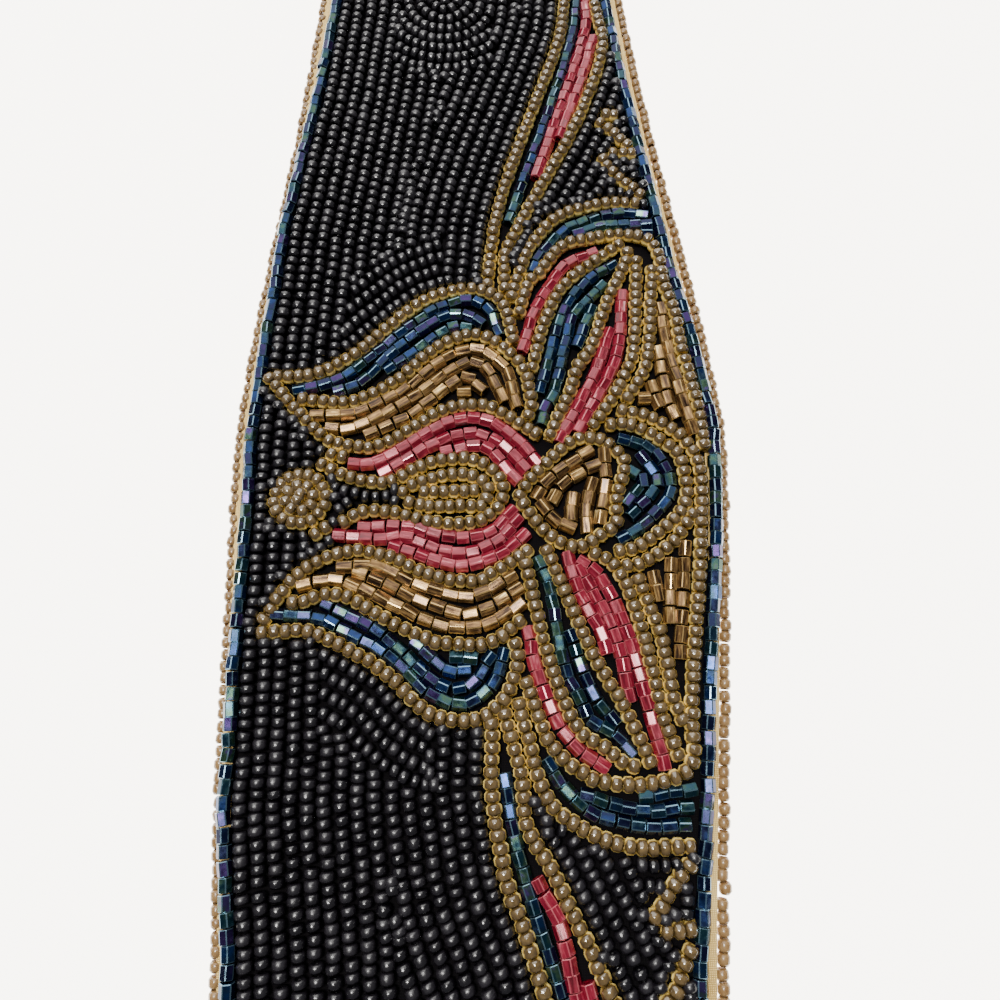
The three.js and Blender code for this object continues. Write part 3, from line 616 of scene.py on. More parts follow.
@dataclass
class Layout:
    """Lays the places of every bead of the belt, in the order in which they are sewn.

    A room is how much of the touching distance to its neighbours a bead needs: less for curved rows.
    """

    seed: int = 20
    ledger: Ledger = field(default_factory=Ledger)
    threads: dict[str, list[Place]] = field(default_factory=dict)
    edge_room: float = 0.8
    string_room: float = 0.66
    fill_room: float = 0.7
    tube_room: float = 0.5
    black_room: float = 0.93
    gap_passes: tuple[tuple[float, float], ...] = ((0.82, 0.0), (0.7, 0.3))
    gap_step: float = 0.55
    gap_reach: float = 33.0
    row_pitch: float = 2.1
    first_row: float = 2.02
    row_sight: float = 0.7
    row_jump: float = 1.2
    retry_step: float = 0.16
    swirl_centres: tuple[tuple[float, float], ...] = ((-5.6, 87.2), (-5.2, -96.0))
    swirl_rings: int = 7
    ring_pitch: float = 2.07
    swirl_half_width: float = 8.0
    button_centre: tuple[float, float] = (-24.6, -1.3)
    button_rings: tuple[tuple[float, int, float], ...] = ((3.5, 16, 0.0), (1.85, 8, 0.4), (0.45, 2, 0.75))
    loose_beads: tuple[tuple[float, float, float], ...] = (
        (-22.2, -6.3, 0.7), (-20.9, -5.4, 0.5), (-20.5, 5.2, -0.3), (-19.0, 4.8, -0.3))
    tube_roll: float = 15.0
    hang_out_left: float = 0.3
    hang_out_right: float = 0.95
    hang_lift: float = 0.3
    tube_drift_left: tuple[tuple[float, float], ...] = (
        (-65, 2.4), (-57, 2.3), (-49, 1.8), (-42, 1.4), (-35, 1.8), (-21, 2.0), (-6, 2.5), (12, 2.5),
        (30, 2.2), (42, 1.7), (56, 2.0), (70, 2.7), (88, 2.9), (110, 2.5))
    tube_drift_right: tuple[tuple[float, float], ...] = (
        (-70, 2.6), (-62, 2.9), (-50, 2.6), (-40, 2.3), (-24, 2.1), (-12, 1.5), (-2, 1.1), (9, 1.1),
        (24, 1.7), (35, 2.4), (60, 2.4), (90, 2.7), (110, 2.4))

    def __post_init__(self) -> None:
        """Starts the dice and reads the belt's edges from the frame."""
        self.dice = np.random.default_rng(self.seed)
        self.ground = Ground(("black_ground_top", "black_ground_low"))
        self.outer = {side: node_line(f"edge_beads_{side}") for side in ("left", "right")}
        self.guides = {name: smooth_line(route) for name, route in STRINGS.items()}

    def note(self, piece: str, place: Place) -> None:
        """Notes a bead's place in its piece, which begins with its first bead."""
        self.threads.setdefault(piece, []).append(place)

    def lay(self, piece: str, x: float, y: float, angle: float, lift: float = 0.0) -> None:
        """Lays one bead on the cloth, a little unevenly, and takes its place.

        Args:
            piece: the piece that it belongs to.
            x: across the belt.
            y: along the belt.
            angle: its thread's direction.
            lift: how far it lies above the cloth.
        """
        ware = WARES[kind_of(piece)]
        sway = self.dice.normal(0, ware.sway, 2).clip(-2 * ware.sway, 2 * ware.sway)
        odd = 4.0 if self.dice.random() < ware.odd else 1.0
        bent = angle + math.radians(self.dice.normal(0, ware.turn * odd))
        z = SEWN_ON + ware.height / 2 + lift + self.dice.uniform(-0.05, 0.06)
        roll = self.dice.uniform(0, 2 * math.pi)
        if isinstance(ware.form, CutTube):
            roll = math.radians(self.dice.normal(0, self.tube_roll))
        stretch = 1 + self.dice.normal(0, ware.uneven) + (odd - 1) * 0.06
        self.note(piece, Place(x + sway[0], y + sway[1], z, bent, roll, min(max(stretch, 0.8), 1.22)))
        self.ledger.take(x, y, angle, ware)

    def string(self, piece: str, line: np.ndarray, room: float) -> None:
        """Lays a string of beads at an even pitch, past the places that are taken, gold ones over a strip of
        painted glow.

        Args:
            piece: the piece.
            line: the string's line.
            room: how much of the touching distance each bead needs.
        """
        ware = WARES[kind_of(piece)]
        glow_level = SEWN_ON + WARES[Kind.THREAD].height / 2 - 0.02
        for x, y, angle in spaced(line, ware.pitch):
            if self.ledger.free(x, y, angle, ware, room):
                self.lay(piece, x, y, angle)
                # Under each gold bead goes a flat strip of painted glow, for the yellow light through its
                # clear rims.
                if ware is WARES[Kind.GOLD]:
                    self.note("couching_thread", Place(x, y, glow_level, angle))

    def edge_line(self, side: str) -> np.ndarray:
        """The middle line of the tubes' row along one edge, at its own drift inside the outline."""
        inward = 1 if side == "left" else -1
        drift = np.array(self.tube_drift_left if side == "left" else self.tube_drift_right)
        line = self.outer[side]
        y = np.arange(line[0, 1], line[-1, 1], 0.5)
        x = np.interp(y, line[:, 1], line[:, 0]) + inward * (np.interp(y, drift[:, 0], drift[:, 1]) - 0.75)
        return np.column_stack([x, y])

    def edges(self) -> None:
        """Lays the tubes along both edges and hangs the champagne beads beside the cloth."""
        ware = WARES[Kind.CHAMPAGNE]
        for side, out in (("left", -self.hang_out_left), ("right", self.hang_out_right)):
            self.guides[f"edge_{side}"] = self.edge_line(side)
            self.string(f"edge_tubes_{side}", self.guides[f"edge_{side}"], self.edge_room)
            for x, y, angle in spaced(smooth_line([tuple(p) for p in self.outer[side]]), ware.pitch):
                sway = self.dice.normal(0, ware.sway, 2)
                z = ware.height / 2 + self.hang_lift + self.dice.uniform(0, 0.12)
                bent = angle + math.radians(self.dice.normal(0, ware.turn))
                roll, stretch = self.dice.uniform(0, 6), 1 + self.dice.normal(0, ware.uneven)
                self.note(f"edge_beads_{side}", Place(x + out + sway[0], y + sway[1], z, bent, roll, stretch))

    def flower(self) -> None:
        """Lays the gold strings, the core, the tubes between the strings, the squiggles and the button."""
        for name in STRINGS:
            self.string(f"{name}_string", self.guides[name], self.string_room)
        for row in CORE_ROWS:
            self.string("core_rows", smooth_line(row), self.fill_room)
        for name, rows in ROWS.items():
            for row in rows:
                self.string(f"{name}_rows", smooth_line(row), self.tube_room)
        for name, rows in SQUIGGLES.items():
            for row in rows:
                self.string(name, smooth_line(row), self.fill_room)
        self.button()

    def button(self) -> None:
        """Lays the round knot of beads at the flower's left, raised to its middle, and its loose beads."""
        cx, cy = self.button_centre
        for radius, count, lift in self.button_rings:
            for k in range(count):
                turn = 2 * math.pi * (k + 0.3) / count
                x, y = cx + radius * math.cos(turn), cy + radius * math.sin(turn)
                self.lay("button", x, y, turn + math.pi / 2, lift)
        for x, y, turn in self.loose_beads:
            self.lay("button", x, y, turn)

    def black(self, x: float, y: float, angle: float, room: float, lift: float = 0.0) -> bool:
        """Lays one black bead if the ground is free there.

        Args:
            x: across the belt.
            y: along the belt.
            angle: its thread's direction.
            room: how much of the touching distance it needs.
            lift: how far it lies above the cloth.

        Returns:
            Whether it was laid.
        """
        if not self.ground.holds(x, y) or not self.ledger.free(x, y, angle, WARES[Kind.BLACK], room):
            return False
        part = "top" if y > Ground.split else "low"
        self.lay(f"black_ground_{part}", x, y, angle, lift)
        return True

    def black_row(self, line: np.ndarray) -> None:
        """Sews one row of black beads along a line, broken where the line jumps or the place is taken."""
        pitch = WARES[Kind.BLACK].pitch
        jumps = np.where(np.linalg.norm(np.diff(line, axis=0), axis=1) > self.row_jump)[0] + 1
        for part in np.split(line, jumps):
            if len(part) < 3:
                continue
            run = walked(part)
            at = self.dice.uniform(0, 0.6)
            while at < run[-1]:
                x, y = point_at(part, run, at)
                laid = self.black(x, y, heading(part, run, at, self.row_sight), self.black_room)
                at += pitch * self.dice.normal(1, 0.02) if laid else self.retry_step

    def echo(self, guide: str, rows: range) -> None:
        """Sews rows that follow a guide line on both sides, where the ground is free.

        Args:
            guide: the line's name.
            rows: which rows out from the guide.
        """
        line = self.guides[guide]
        tree = KDTree(len(line))
        for i, (x, y) in enumerate(line):
            tree.insert((x, y, 0), i)
        tree.balance()
        slope = np.gradient(line, axis=0)
        normal = np.column_stack([-slope[:, 1], slope[:, 0]]) / np.linalg.norm(slope, axis=1)[:, None]
        for row in rows:
            reach = self.first_row + row * self.row_pitch
            for side in (1, -1):
                moved = line + side * reach * normal
                kept = [p for p in moved if tree.find((p[0], p[1], 0))[2] > reach - 0.12]
                if len(kept) > 3:
                    self.black_row(np.array(kept))

    def swirl(self, centre: tuple[float, float]) -> None:
        """Sews rings of black beads round a centre, cut off at both sides."""
        for ring in range(1, self.swirl_rings + 1):
            turns = np.linspace(-math.pi, math.pi, 60 * ring)
            radius = self.ring_pitch * ring
            line = np.column_stack([centre[0] + radius * np.cos(turns), centre[1] + radius * np.sin(turns)])
            self.black_row(line[np.abs(line[:, 0] - centre[0]) < self.swirl_half_width])

    def ground_rows(self) -> None:
        """Sews the black ground: along edges and stems, round the leaves, in swirls, then what is left."""
        self.echo("edge_left", range(5))
        self.echo("top_stem_left", range(3))
        self.echo("low_stem_left", range(3))
        for name in ("blue_leaf_top", "blue_leaf_low", "top_stem_right", "low_stem_right"):
            self.echo(name, range(4))
        for name in ("pink_petal_top", "pink_petal_low", "core", "top_arc_outer", "low_arc_outer",
                     "scroll_outer"):
            self.echo(name, range(2))
        for centre in self.swirl_centres:
            self.swirl(centre)
        self.echo("edge_right", range(4))
        sewn = {"edge_left": 5, "top_stem_left": 3, "low_stem_left": 3, "edge_right": 4}
        for row in range(9):
            for name, rows in sewn.items():
                self.echo(name, range(row + rows, row + rows + 1))
        self.gaps()

    def gaps(self) -> None:
        """Sews single beads into the gaps where rows meet, turned as the nearest bead is."""
        low, top = self.guides["edge_left"][0, 1], self.guides["edge_left"][-1, 1]
        for room, lift in self.gap_passes:
            for y in np.arange(low, top, self.gap_step):
                for x in np.arange(-self.gap_reach, self.gap_reach, self.gap_step):
                    near = self.ledger.near(x, y)
                    if not near or not self.ground.holds(x, y):
                        continue
                    close = min(near, key=lambda b: (b.x - x) ** 2 + (b.y - y) ** 2)
                    self.black(x, y, close.angle + self.dice.normal(0, 0.2), room, lift)


class Tree:
    """A material's node tree, with short ways to add and join its nodes."""

    def __init__(self, name: str) -> None:
        """Starts an empty node material.

        Args:
            name: the material's name.
        """
        self.material = bpy.data.materials.new(name)
        self.material.use_nodes = True
        self.nodes = self.material.node_tree.nodes
        self.links = self.material.node_tree.links
        self.shader = self.nodes["Principled BSDF"]

    def add(self, kind: str, inputs: dict[str, object] | None = None, **settings: object) -> bpy.types.Node:
        """Adds a node.

        Args:
            kind: the node's type name.
            inputs: values for its sockets, or sockets to join to them.
            settings: the node's own properties.

        Returns:
            The node.
        """
        node = self.nodes.new(kind)
        for key, value in settings.items():
            setattr(node, key, value)
        for key, value in (inputs or {}).items():
            self.put(node.inputs[key], value)
        return node

    def put(self, socket: bpy.types.NodeSocket, value: object) -> None:
        """Sets a socket to a value, or joins another node's output to it."""
        if isinstance(value, bpy.types.NodeSocket):
            self.links.new(value, socket)
        else:
            socket.default_value = value

    def attribute(self, name: str, output: str = "Fac") -> bpy.types.NodeSocket:
        """The output of one of the beads' attributes."""
        return self.add("ShaderNodeAttribute", attribute_name=name).outputs[output]

    def bead(self) -> tuple[bpy.types.NodeSocket, bpy.types.NodeSocket]:
        """A bead's own tint, from 0 to 1, and the place on it, in millimetres."""
        return self.attribute("tint"), self.attribute("place", "Vector")

    def place(self) -> bpy.types.NodeSocket:
        """The place on the whole piece, in metres."""
        return self.add("ShaderNodeTexCoord").outputs["Object"]

    def maths(self, operation: str, a: object, b: object = 0.0) -> bpy.types.NodeSocket:
        """The result of a sum on one or two values."""
        node = self.add("ShaderNodeMath", operation=operation)
        self.put(node.inputs[0], a)
        self.put(node.inputs[1], b)
        return node.outputs[0]

    def ramp(self, value: object, stops: Stops) -> bpy.types.NodeSocket:
        """Colours along a value.

        Args:
            value: the value, from 0 to 1.
            stops: places and linear colours, in order.

        Returns:
            The ramp's colour output.
        """
        node = self.add("ShaderNodeValToRGB", {"Fac": value})
        band = node.color_ramp.elements
        while len(band) < len(stops):
            band.new(0.5)
        for element, (place, colour) in zip(band, stops):
            element.position = place
            element.color = (*colour, 1.0)
        return node.outputs["Color"]

    def spread(self, value: object, low: float, high: float, to_low: float = 0.0,
               to_high: float = 1.0) -> bpy.types.NodeSocket:
        """Maps a value from one range to another, held at both ends."""
        node = self.add("ShaderNodeMapRange", {"Value": value, "From Min": low, "From Max": high,
                                               "To Min": to_low, "To Max": to_high})
        return node.outputs["Result"]

    def noise(self, place: object, scale: float, detail: float = 2.0) -> bpy.types.NodeSocket:
        """Soft noise over a place."""
        node = self.add("ShaderNodeTexNoise", {"Vector": place, "Scale": scale, "Detail": detail,
                                               "Roughness": 0.55})
        return node.outputs["Fac"]

    def stretched(self, place: object, scale: tuple[float, float, float]) -> bpy.types.NodeSocket:
        """A place scaled along its axes."""
        return self.add("ShaderNodeMapping", {"Vector": place, "Scale": scale}).outputs["Vector"]

    def mixed(self, factor: object, a: object, b: object, blend: str = "MIX") -> bpy.types.NodeSocket:
        """Two colours mixed, or blended in another way.

        Args:
            factor: the second colour's share.
            a: the first colour.
            b: the second colour.
            blend: how they join.

        Returns:
            The mix's colour output.
        """
        node = self.add("ShaderNodeMix", data_type="RGBA", blend_type=blend)
        self.put(node.inputs["Factor"], factor)
        self.put(node.inputs[6], a)
        self.put(node.inputs[7], b)
        return node.outputs[2]

    def cut(self, body: object, edge: Colour, share: float, painted_shade: Colour) -> bpy.types.NodeSocket:
        """Colours a cut tube, with a painted highlight on its ground edges and painted shade in its hole.

        Args:
            body: the colour of its sides.
            edge: the painted highlight colour on its ground edges.
            share: how much of that colour they take.
            painted_shade: the colour in its hole.

        Returns:
            The tube's colour.
        """
        facet = self.attribute("facet")
        # Painted highlight on the chamfers, then painted shade in the hole.
        highlighted = self.mixed(self.spread(facet, 0.0, 1.0, 0.0, share), body, (*edge, 1.0))
        return self.mixed(self.spread(facet, 0.0, -1.0), highlighted, (*painted_shade, 1.0))

    def bump(self, height: object, strength: float, distance: float) -> None:
        """Raises the surface by a height pattern, its depth in metres."""
        node = self.add("ShaderNodeBump", {"Height": height, "Strength": strength, "Distance": distance})
        self.links.new(node.outputs["Normal"], self.shader.inputs["Normal"])

    def finish(self, **values: object) -> bpy.types.Material:
        """Sets or joins the shader's own sockets, named with _ for each space, and returns the material."""
        for key, value in values.items():
            self.put(self.shader.inputs[key.replace("_", " ")], value)
        return self.material


@dataclass(frozen=True)
class BlackGlass:
    """Opaque black glass with a slight plum cast: some beads duller, some greyer."""

    deep: Colour = (0.0035, 0.0028, 0.0042)
    grey: Colour = (0.012, 0.0098, 0.0135)

    def material(self) -> bpy.types.Material:
        """Builds the finish."""
        tree = Tree("black_glass")
        tint, place = tree.bead()
        cloud = tree.maths("MULTIPLY", tint, tree.noise(place, 0.9))
        tree.bump(tree.noise(place, 2.2), 0.5, 0.0001)
        return tree.finish(Base_Color=tree.ramp(cloud, ((0.0, self.deep), (0.75, self.grey))),
                           Roughness=tree.spread(tint, 0.0, 1.0, 0.22, 0.4), IOR=1.65)


@dataclass(frozen=True)
class GoldLined:
    """Glass over a gold lining, taupe; a painted glow at the sides for light coming through the glass, and a
    painted sheen on top.
    """

    # Painted light by height on the bead: the two glow colours at the sides stand for light coming through
    # the glass, and the lighter top colour for a sheen; taupe is the glass's own colour.
    glow_amber: Colour = (1.0, 0.78, 0.25)
    glow_honey: Colour = (0.5, 0.32, 0.075)
    taupe: Colour = (0.076, 0.048, 0.017)
    light: Colour = (0.125, 0.083, 0.033)
    clouds: Stops = ((0.3, (0.6, 0.57, 0.5)), (0.7, (1.22, 1.2, 1.16)))

    def material(self) -> bpy.types.Material:
        """Builds the finish."""
        tree = Tree("gold_lined_glass")
        tint, place = tree.bead()
        height = tree.maths("ADD", tree.attribute("crown"), tree.spread(tint, 0, 1, -0.12, 0.12))
        # Painted glow low on the sides, the glass's taupe above it, and a painted sheen on the very top.
        body = tree.ramp(tree.spread(height, -0.4, 1.0), (
            (0.0, self.glow_amber), (0.5, self.glow_amber), (0.6, self.glow_honey), (0.7, self.taupe), (1.0, self.light)))
        cloud = tree.ramp(tree.noise(place, 1.4), self.clouds)
        tree.bump(tree.noise(place, 2.5), 0.5, 0.0001)
        return tree.finish(Base_Color=tree.mixed(1.0, body, cloud, "MULTIPLY"),
                           Roughness=tree.spread(tint, 0, 1, 0.08, 0.18), IOR=1.85, Metallic=0.05)


@dataclass(frozen=True)
class IrisGlass:
    """Dark glass with an iris coat: navy, blue, teal, green and violet, with a pale painted highlight along
    the ground edges and painted shade in the hole.
    """

    # pale is a painted highlight on the ground edges; the dark hole colour below it is painted shade.
    pale: Colour = (0.2, 0.34, 0.42)
    painted_shade: Colour = (0.004, 0.005, 0.008)
    hues: Stops = (
        (0.0, (0.024, 0.01, 0.066)), (0.14, (0.004, 0.005, 0.032)), (0.34, (0.003, 0.008, 0.036)),
        (0.52, (0.005, 0.024, 0.095)), (0.64, (0.003, 0.015, 0.04)), (0.8, (0.006, 0.032, 0.044)),
        (0.92, (0.024, 0.056, 0.03)), (1.0, (0.028, 0.018, 0.08)))

    def material(self) -> bpy.types.Material:
        """Builds the finish."""
        tree = Tree("iris_glass")
        tint, place = tree.bead()
        sheen = tree.spread(tree.noise(place, 0.55), 0.3, 0.7, -0.14, 0.14)
        body = tree.ramp(tree.maths("ADD", tint, sheen), self.hues)
        # Painted highlight on the chamfers and painted shade in the hole, through cut.
        return tree.finish(Base_Color=tree.cut(body, self.pale, 0.5, self.painted_shade),
                           Roughness=tree.spread(tree.noise(place, 1.1), 0.3, 0.7, 0.14, 0.32),
                           Metallic=0.8, IOR=1.6)


@dataclass(frozen=True)
class StreakedGlass:
    """Lined glass tubes streaked along their length: the glass's own uneven tone, the brightest streaks a
    painted highlight, and painted shade on the lower sides.
    """

    name: str
    stops: Stops
    edge: Colour
    painted_shade: Colour
    metallic: float
    gloss: tuple[float, float] = (0.14, 0.3)

    def material(self) -> bpy.types.Material:
        """Builds the finish."""
        tree = Tree(self.name)
        tint, place = tree.bead()
        # Streaks along the tube: partly the glass's own tone, partly a painted highlight where they reach the
        # brightest stops.
        tone_and_sheen_streak = tree.noise(tree.stretched(place, (0.35, 2.4, 2.4)), 1.0, 3.0)
        value = tree.maths("ADD", tree.spread(tone_and_sheen_streak, 0.28, 0.72, 0.0, 0.8),
                           tree.spread(tint, 0, 1, -0.06, 0.22))
        cloud = tree.spread(tree.noise(place, 0.5), 0.3, 0.7, -0.1, 0.1)
        body = tree.ramp(tree.maths("ADD", value, cloud), self.stops)
        # Painted shade: the tube's lower sides go over to the dark hole colour.
        low = tree.spread(tree.attribute("crown"), -0.1, -0.8)
        tree.bump(tone_and_sheen_streak, 0.2, 0.00005)
        return tree.finish(
            Base_Color=tree.mixed(low, tree.cut(body, self.edge, 0.6, self.painted_shade), (*self.painted_shade, 1.0)),
            Roughness=tree.spread(tone_and_sheen_streak, 0.3, 0.7, *self.gloss), Metallic=self.metallic, IOR=1.55)


@dataclass(frozen=True)
class ChampagneGlass:
    """Pale peach glass of the edge beads, with a warmer painted glow low down towards the cloth for light
    coming through the glass.
    """

    # Painted glow: the warmer colour low on the bead stands for light through the glass towards the cloth;
    # pale is the glass's own colour.
    glow_warm: Colour = (0.3, 0.13, 0.03)
    pale: Colour = (0.24, 0.145, 0.06)
    clouds: Stops = ((0.3, (0.6, 0.5, 0.4)), (0.6, (1.0, 1.0, 1.0)))

    def material(self) -> bpy.types.Material:
        """Builds the finish."""
        tree = Tree("champagne_glass")
        tint, place = tree.bead()
        height = tree.maths("ADD", tree.attribute("crown"), tree.spread(tint, 0, 1, -0.4, 0.4))
        body = tree.ramp(tree.spread(height, -1, 1), ((0.1, self.glow_warm), (0.65, self.pale), (1.0, self.pale)))
        cloud = tree.ramp(tree.noise(place, 1.2), self.clouds)
        return tree.finish(Base_Color=tree.mixed(0.8, body, cloud, "MULTIPLY"),
                           Roughness=tree.spread(tree.noise(place, 0.8), 0.3, 0.7, 0.15, 0.35), IOR=1.5)


@dataclass(frozen=True)
class WovenCloth:
    """A plain or satin weave: crossing threads with a little unevenness, and lint where there is any."""

    name: str
    thread: Colour
    shade: Colour
    pitch: float
    rough: float
    metallic: float = 0.0
    lint: float = 0.0
    gloss: float = 0.3
    fluff: Colour = (0.12, 0.1, 0.11)

    def material(self) -> bpy.types.Material:
        """Builds the finish."""
        tree = Tree(self.name)
        place = tree.place()
        waves = {"Vector": place, "Scale": 2 * math.pi / (self.pitch * MM) / 20, "Distortion": 0.6,
                 "Detail": 1.0, "Detail Scale": 3.0}
        warp = tree.add("ShaderNodeTexWave", waves, bands_direction="X").outputs["Fac"]
        weft = tree.add("ShaderNodeTexWave", waves, bands_direction="Y").outputs["Fac"]
        weave = tree.maths("MULTIPLY", warp, weft)
        cloud = tree.noise(place, 120.0, 3.0)
        value = tree.maths("ADD", tree.spread(weave, 0, 1, 0, 0.6), tree.spread(cloud, 0.3, 0.7, 0.0, 0.4))
        body = tree.ramp(value, ((0.05, self.shade), (0.9, self.thread)))
        if self.lint:
            strands = tree.spread(tree.noise(place, 2600.0, 4.0), 0.66, 0.78, 0.0, self.lint)
            body = tree.mixed(strands, body, (*self.fluff, 1.0))
        tree.bump(weave, 0.6, 0.00008)
        return tree.finish(Base_Color=body, Metallic=self.metallic, Specular_IOR_Level=self.gloss,
                           Roughness=tree.spread(cloud, 0.3, 0.7, self.rough - 0.08, self.rough + 0.08))


@dataclass(frozen=True)
class DullNickel:
    """The clasp's plain plating, brushed and a little worn."""

    bright: Colour = (0.55, 0.54, 0.52)
    worn: Colour = (0.3, 0.28, 0.25)

    def material(self) -> bpy.types.Material:
        """Builds the finish."""
        tree = Tree("dull_nickel")
        place = tree.place()
        brushed = tree.noise(tree.stretched(place, (200.0, 4000.0, 4000.0)), 1.0, 3.0)
        stain = tree.noise(place, 350.0, 4.0)
        tree.bump(brushed, 0.3, 0.00003)
        return tree.finish(Base_Color=tree.ramp(stain, ((0.35, self.worn), (0.6, self.bright))),
                           Roughness=tree.spread(brushed, 0.3, 0.7, 0.25, 0.5), Metallic=1.0)


class Finishes:
    """Every finish of the belt: the beads' by their kind, the others by name."""

    def __init__(self) -> None:
        """Builds each material once."""
        # In the pink and bronze stops the brightest colours are painted highlights on the streaks; the edge
        # colours are painted highlights on the chamfers, and the hole colours are painted shade.
        pink = StreakedGlass(
            name="pink_lined_glass", edge=(0.5, 0.12, 0.14), painted_shade=(0.14, 0.003, 0.01), metallic=0.25,
            stops=((0.0, (0.07, 0.002, 0.007)), (0.35, (0.155, 0.005, 0.017)), (0.68, (0.24, 0.014, 0.033)),
                   (0.88, (0.36, 0.07, 0.09)), (1.0, (0.62, 0.29, 0.3))))
        bronze = StreakedGlass(
            name="bronze_glass", edge=(0.5, 0.33, 0.12), painted_shade=(0.03, 0.013, 0.006), metallic=0.62,
            stops=((0.0, (0.014, 0.006, 0.003)), (0.25, (0.045, 0.021, 0.008)), (0.5, (0.145, 0.078, 0.027)),
                   (0.78, (0.34, 0.2, 0.066)), (1.0, (0.86, 0.65, 0.28))))
        # The painted glow strip's finish: a woven gold that stands for light through the gold beads' clear
        # rims.
        thread = WovenCloth("gold_thread", (0.6, 0.4, 0.09), (0.12, 0.065, 0.012), pitch=0.9, rough=0.4,
                            metallic=0.2)
        satin = WovenCloth("gold_satin", (0.85, 0.64, 0.26), (0.5, 0.32, 0.09), pitch=0.24, rough=0.38,
                           metallic=0.35)
        black = WovenCloth("black_cloth", (0.0045, 0.0032, 0.0042), (0.0012, 0.001, 0.0014), pitch=0.3,
                           rough=0.85, lint=0.04, gloss=0.08)
        self.beads: dict[Kind, bpy.types.Material] = {
            Kind.BLACK: BlackGlass().material(),
            Kind.GOLD: GoldLined().material(),
            Kind.CHAMPAGNE: ChampagneGlass().material(),
            Kind.BLUE: IrisGlass().material(),
            Kind.PINK: pink.material(),
            Kind.BRONZE: bronze.material(),
            Kind.THREAD: thread.material(),
        }
        self.gold_satin = satin.material()
        self.black_cloth = black.material()
        self.nickel = DullNickel().material()


def shown(name: str, mesh: bpy.types.Mesh, material: bpy.types.Material) -> bpy.types.Object:
    """Puts a finished mesh into the scene.

    Args:
        name: the object's name.
        mesh: its mesh.
        material: its finish.

    Returns:
        The object.
    """
    mesh.materials.append(material)
    made = bpy.data.objects.new(name, mesh)
    bpy.context.scene.collection.objects.link(made)
    return made


def turned(a: np.ndarray, b: np.ndarray, angle: np.ndarray) -> tuple[np.ndarray, np.ndarray]:
    """Turns pairs of coordinates, a row of them by each angle.

    Args:
        a: the first coordinates.
        b: the second ones.
        angle: the angles.

    Returns:
        Both, turned.
    """
    cos, sin = np.cos(angle)[:, None], np.sin(angle)[:, None]
    return a * cos - b * sin, a * sin + b * cos


@dataclass
class BeadPiece:
    """One sewn piece: all its beads as one mesh, in place of the solids that it stands for."""

    name: str
    kind: Kind
    skin: Skin
    places: list[Place]
    nodes: tuple[str, ...]
    swell: float = 0.025
    tip: float = 0.06
    grain_reach: float = 60.0

    def build(self, finishes: Finishes, dice: np.random.Generator) -> bpy.types.Object:
        """Lays a copy of the bead at each place and dresses the piece.

        Args:
            finishes: the belt's materials.
            dice: for each bead's own size, tilt and tint.

        Returns:
            The piece.
        """
        ware = WARES[self.kind]
        shape = ware.form.shape(self.skin)
        rows = np.array(self.places)
        count, size = len(rows), len(shape.points)
        local = np.repeat(shape.points[None], count, axis=0)
        local[:, :, 0] *= rows[:, 5:6]
        local[:, :, 1:] *= (1 + dice.normal(0, self.swell, count)).clip(0.93, 1.07)[:, None, None]
        y, z = turned(local[:, :, 1], local[:, :, 2], rows[:, 4])
        x, z = turned(local[:, :, 0], z, dice.normal(0, self.tip, count))
        x, y = turned(x, y, rows[:, 3])
        points = np.stack([x + rows[:, 0:1], y + rows[:, 1:2], z + rows[:, 2:3]], axis=2)
        # crown is each point's height on its bead, from which the glass finishes paint glow at the sides,
        # sheen on top and shade low down; facet marks the chamfers, painted with a highlight, and the hole,
        # painted with shade.
        looks = (("tint", np.repeat(dice.uniform(0, 1, count), size), "POINT"),
                 ("crown", (z / (ware.height / 2)).ravel(), "POINT"),
                 ("facet", np.tile(shape.facets, count), "FACE"))
        grain = local + dice.uniform(-self.grain_reach, self.grain_reach, (count, 1, 3))
        mesh = self.copies(shape, points)
        for key, values, domain in looks:
            mesh.attributes.new(key, "FLOAT", domain).data.foreach_set("value", values.astype(np.float32))
        place = mesh.attributes.new("place", "FLOAT_VECTOR", "POINT")
        place.data.foreach_set("vector", grain.astype(np.float32).ravel())
        piece = shown(self.name, mesh, finishes.beads[self.kind])
        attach(piece, "root")
        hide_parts(*self.nodes)
        log.info("%s: %d beads, %d triangles", self.name, count, int((shape.sizes - 2).sum()) * count)
        return piece

    def copies(self, shape: BeadShape, points: np.ndarray) -> bpy.types.Mesh:
        """Joins copies of a bead into one mesh.

        Args:
            shape: the bead.
            points: the points of each copy, in millimetres.

        Returns:
            The mesh, in metres.
        """
        count, size = points.shape[:2]
        mesh = bpy.data.meshes.new(self.name)
        mesh.vertices.add(count * size)
        mesh.vertices.foreach_set("co", (points * MM).astype(np.float32).ravel())
        corners = (shape.corners[None] + (np.arange(count) * size)[:, None]).ravel()
        mesh.loops.add(len(corners))
        mesh.loops.foreach_set("vertex_index", corners.astype(np.int32))
        sizes = np.tile(shape.sizes, count)
        mesh.polygons.add(len(sizes))
        starts = np.concatenate([[0], np.cumsum(sizes)[:-1]])
        mesh.polygons.foreach_set("loop_start", starts.astype(np.int32))
        mesh.update(calc_edges=True)
        mesh.polygons.foreach_set("use_smooth", np.full(len(sizes), shape.smooth))
        return mesh


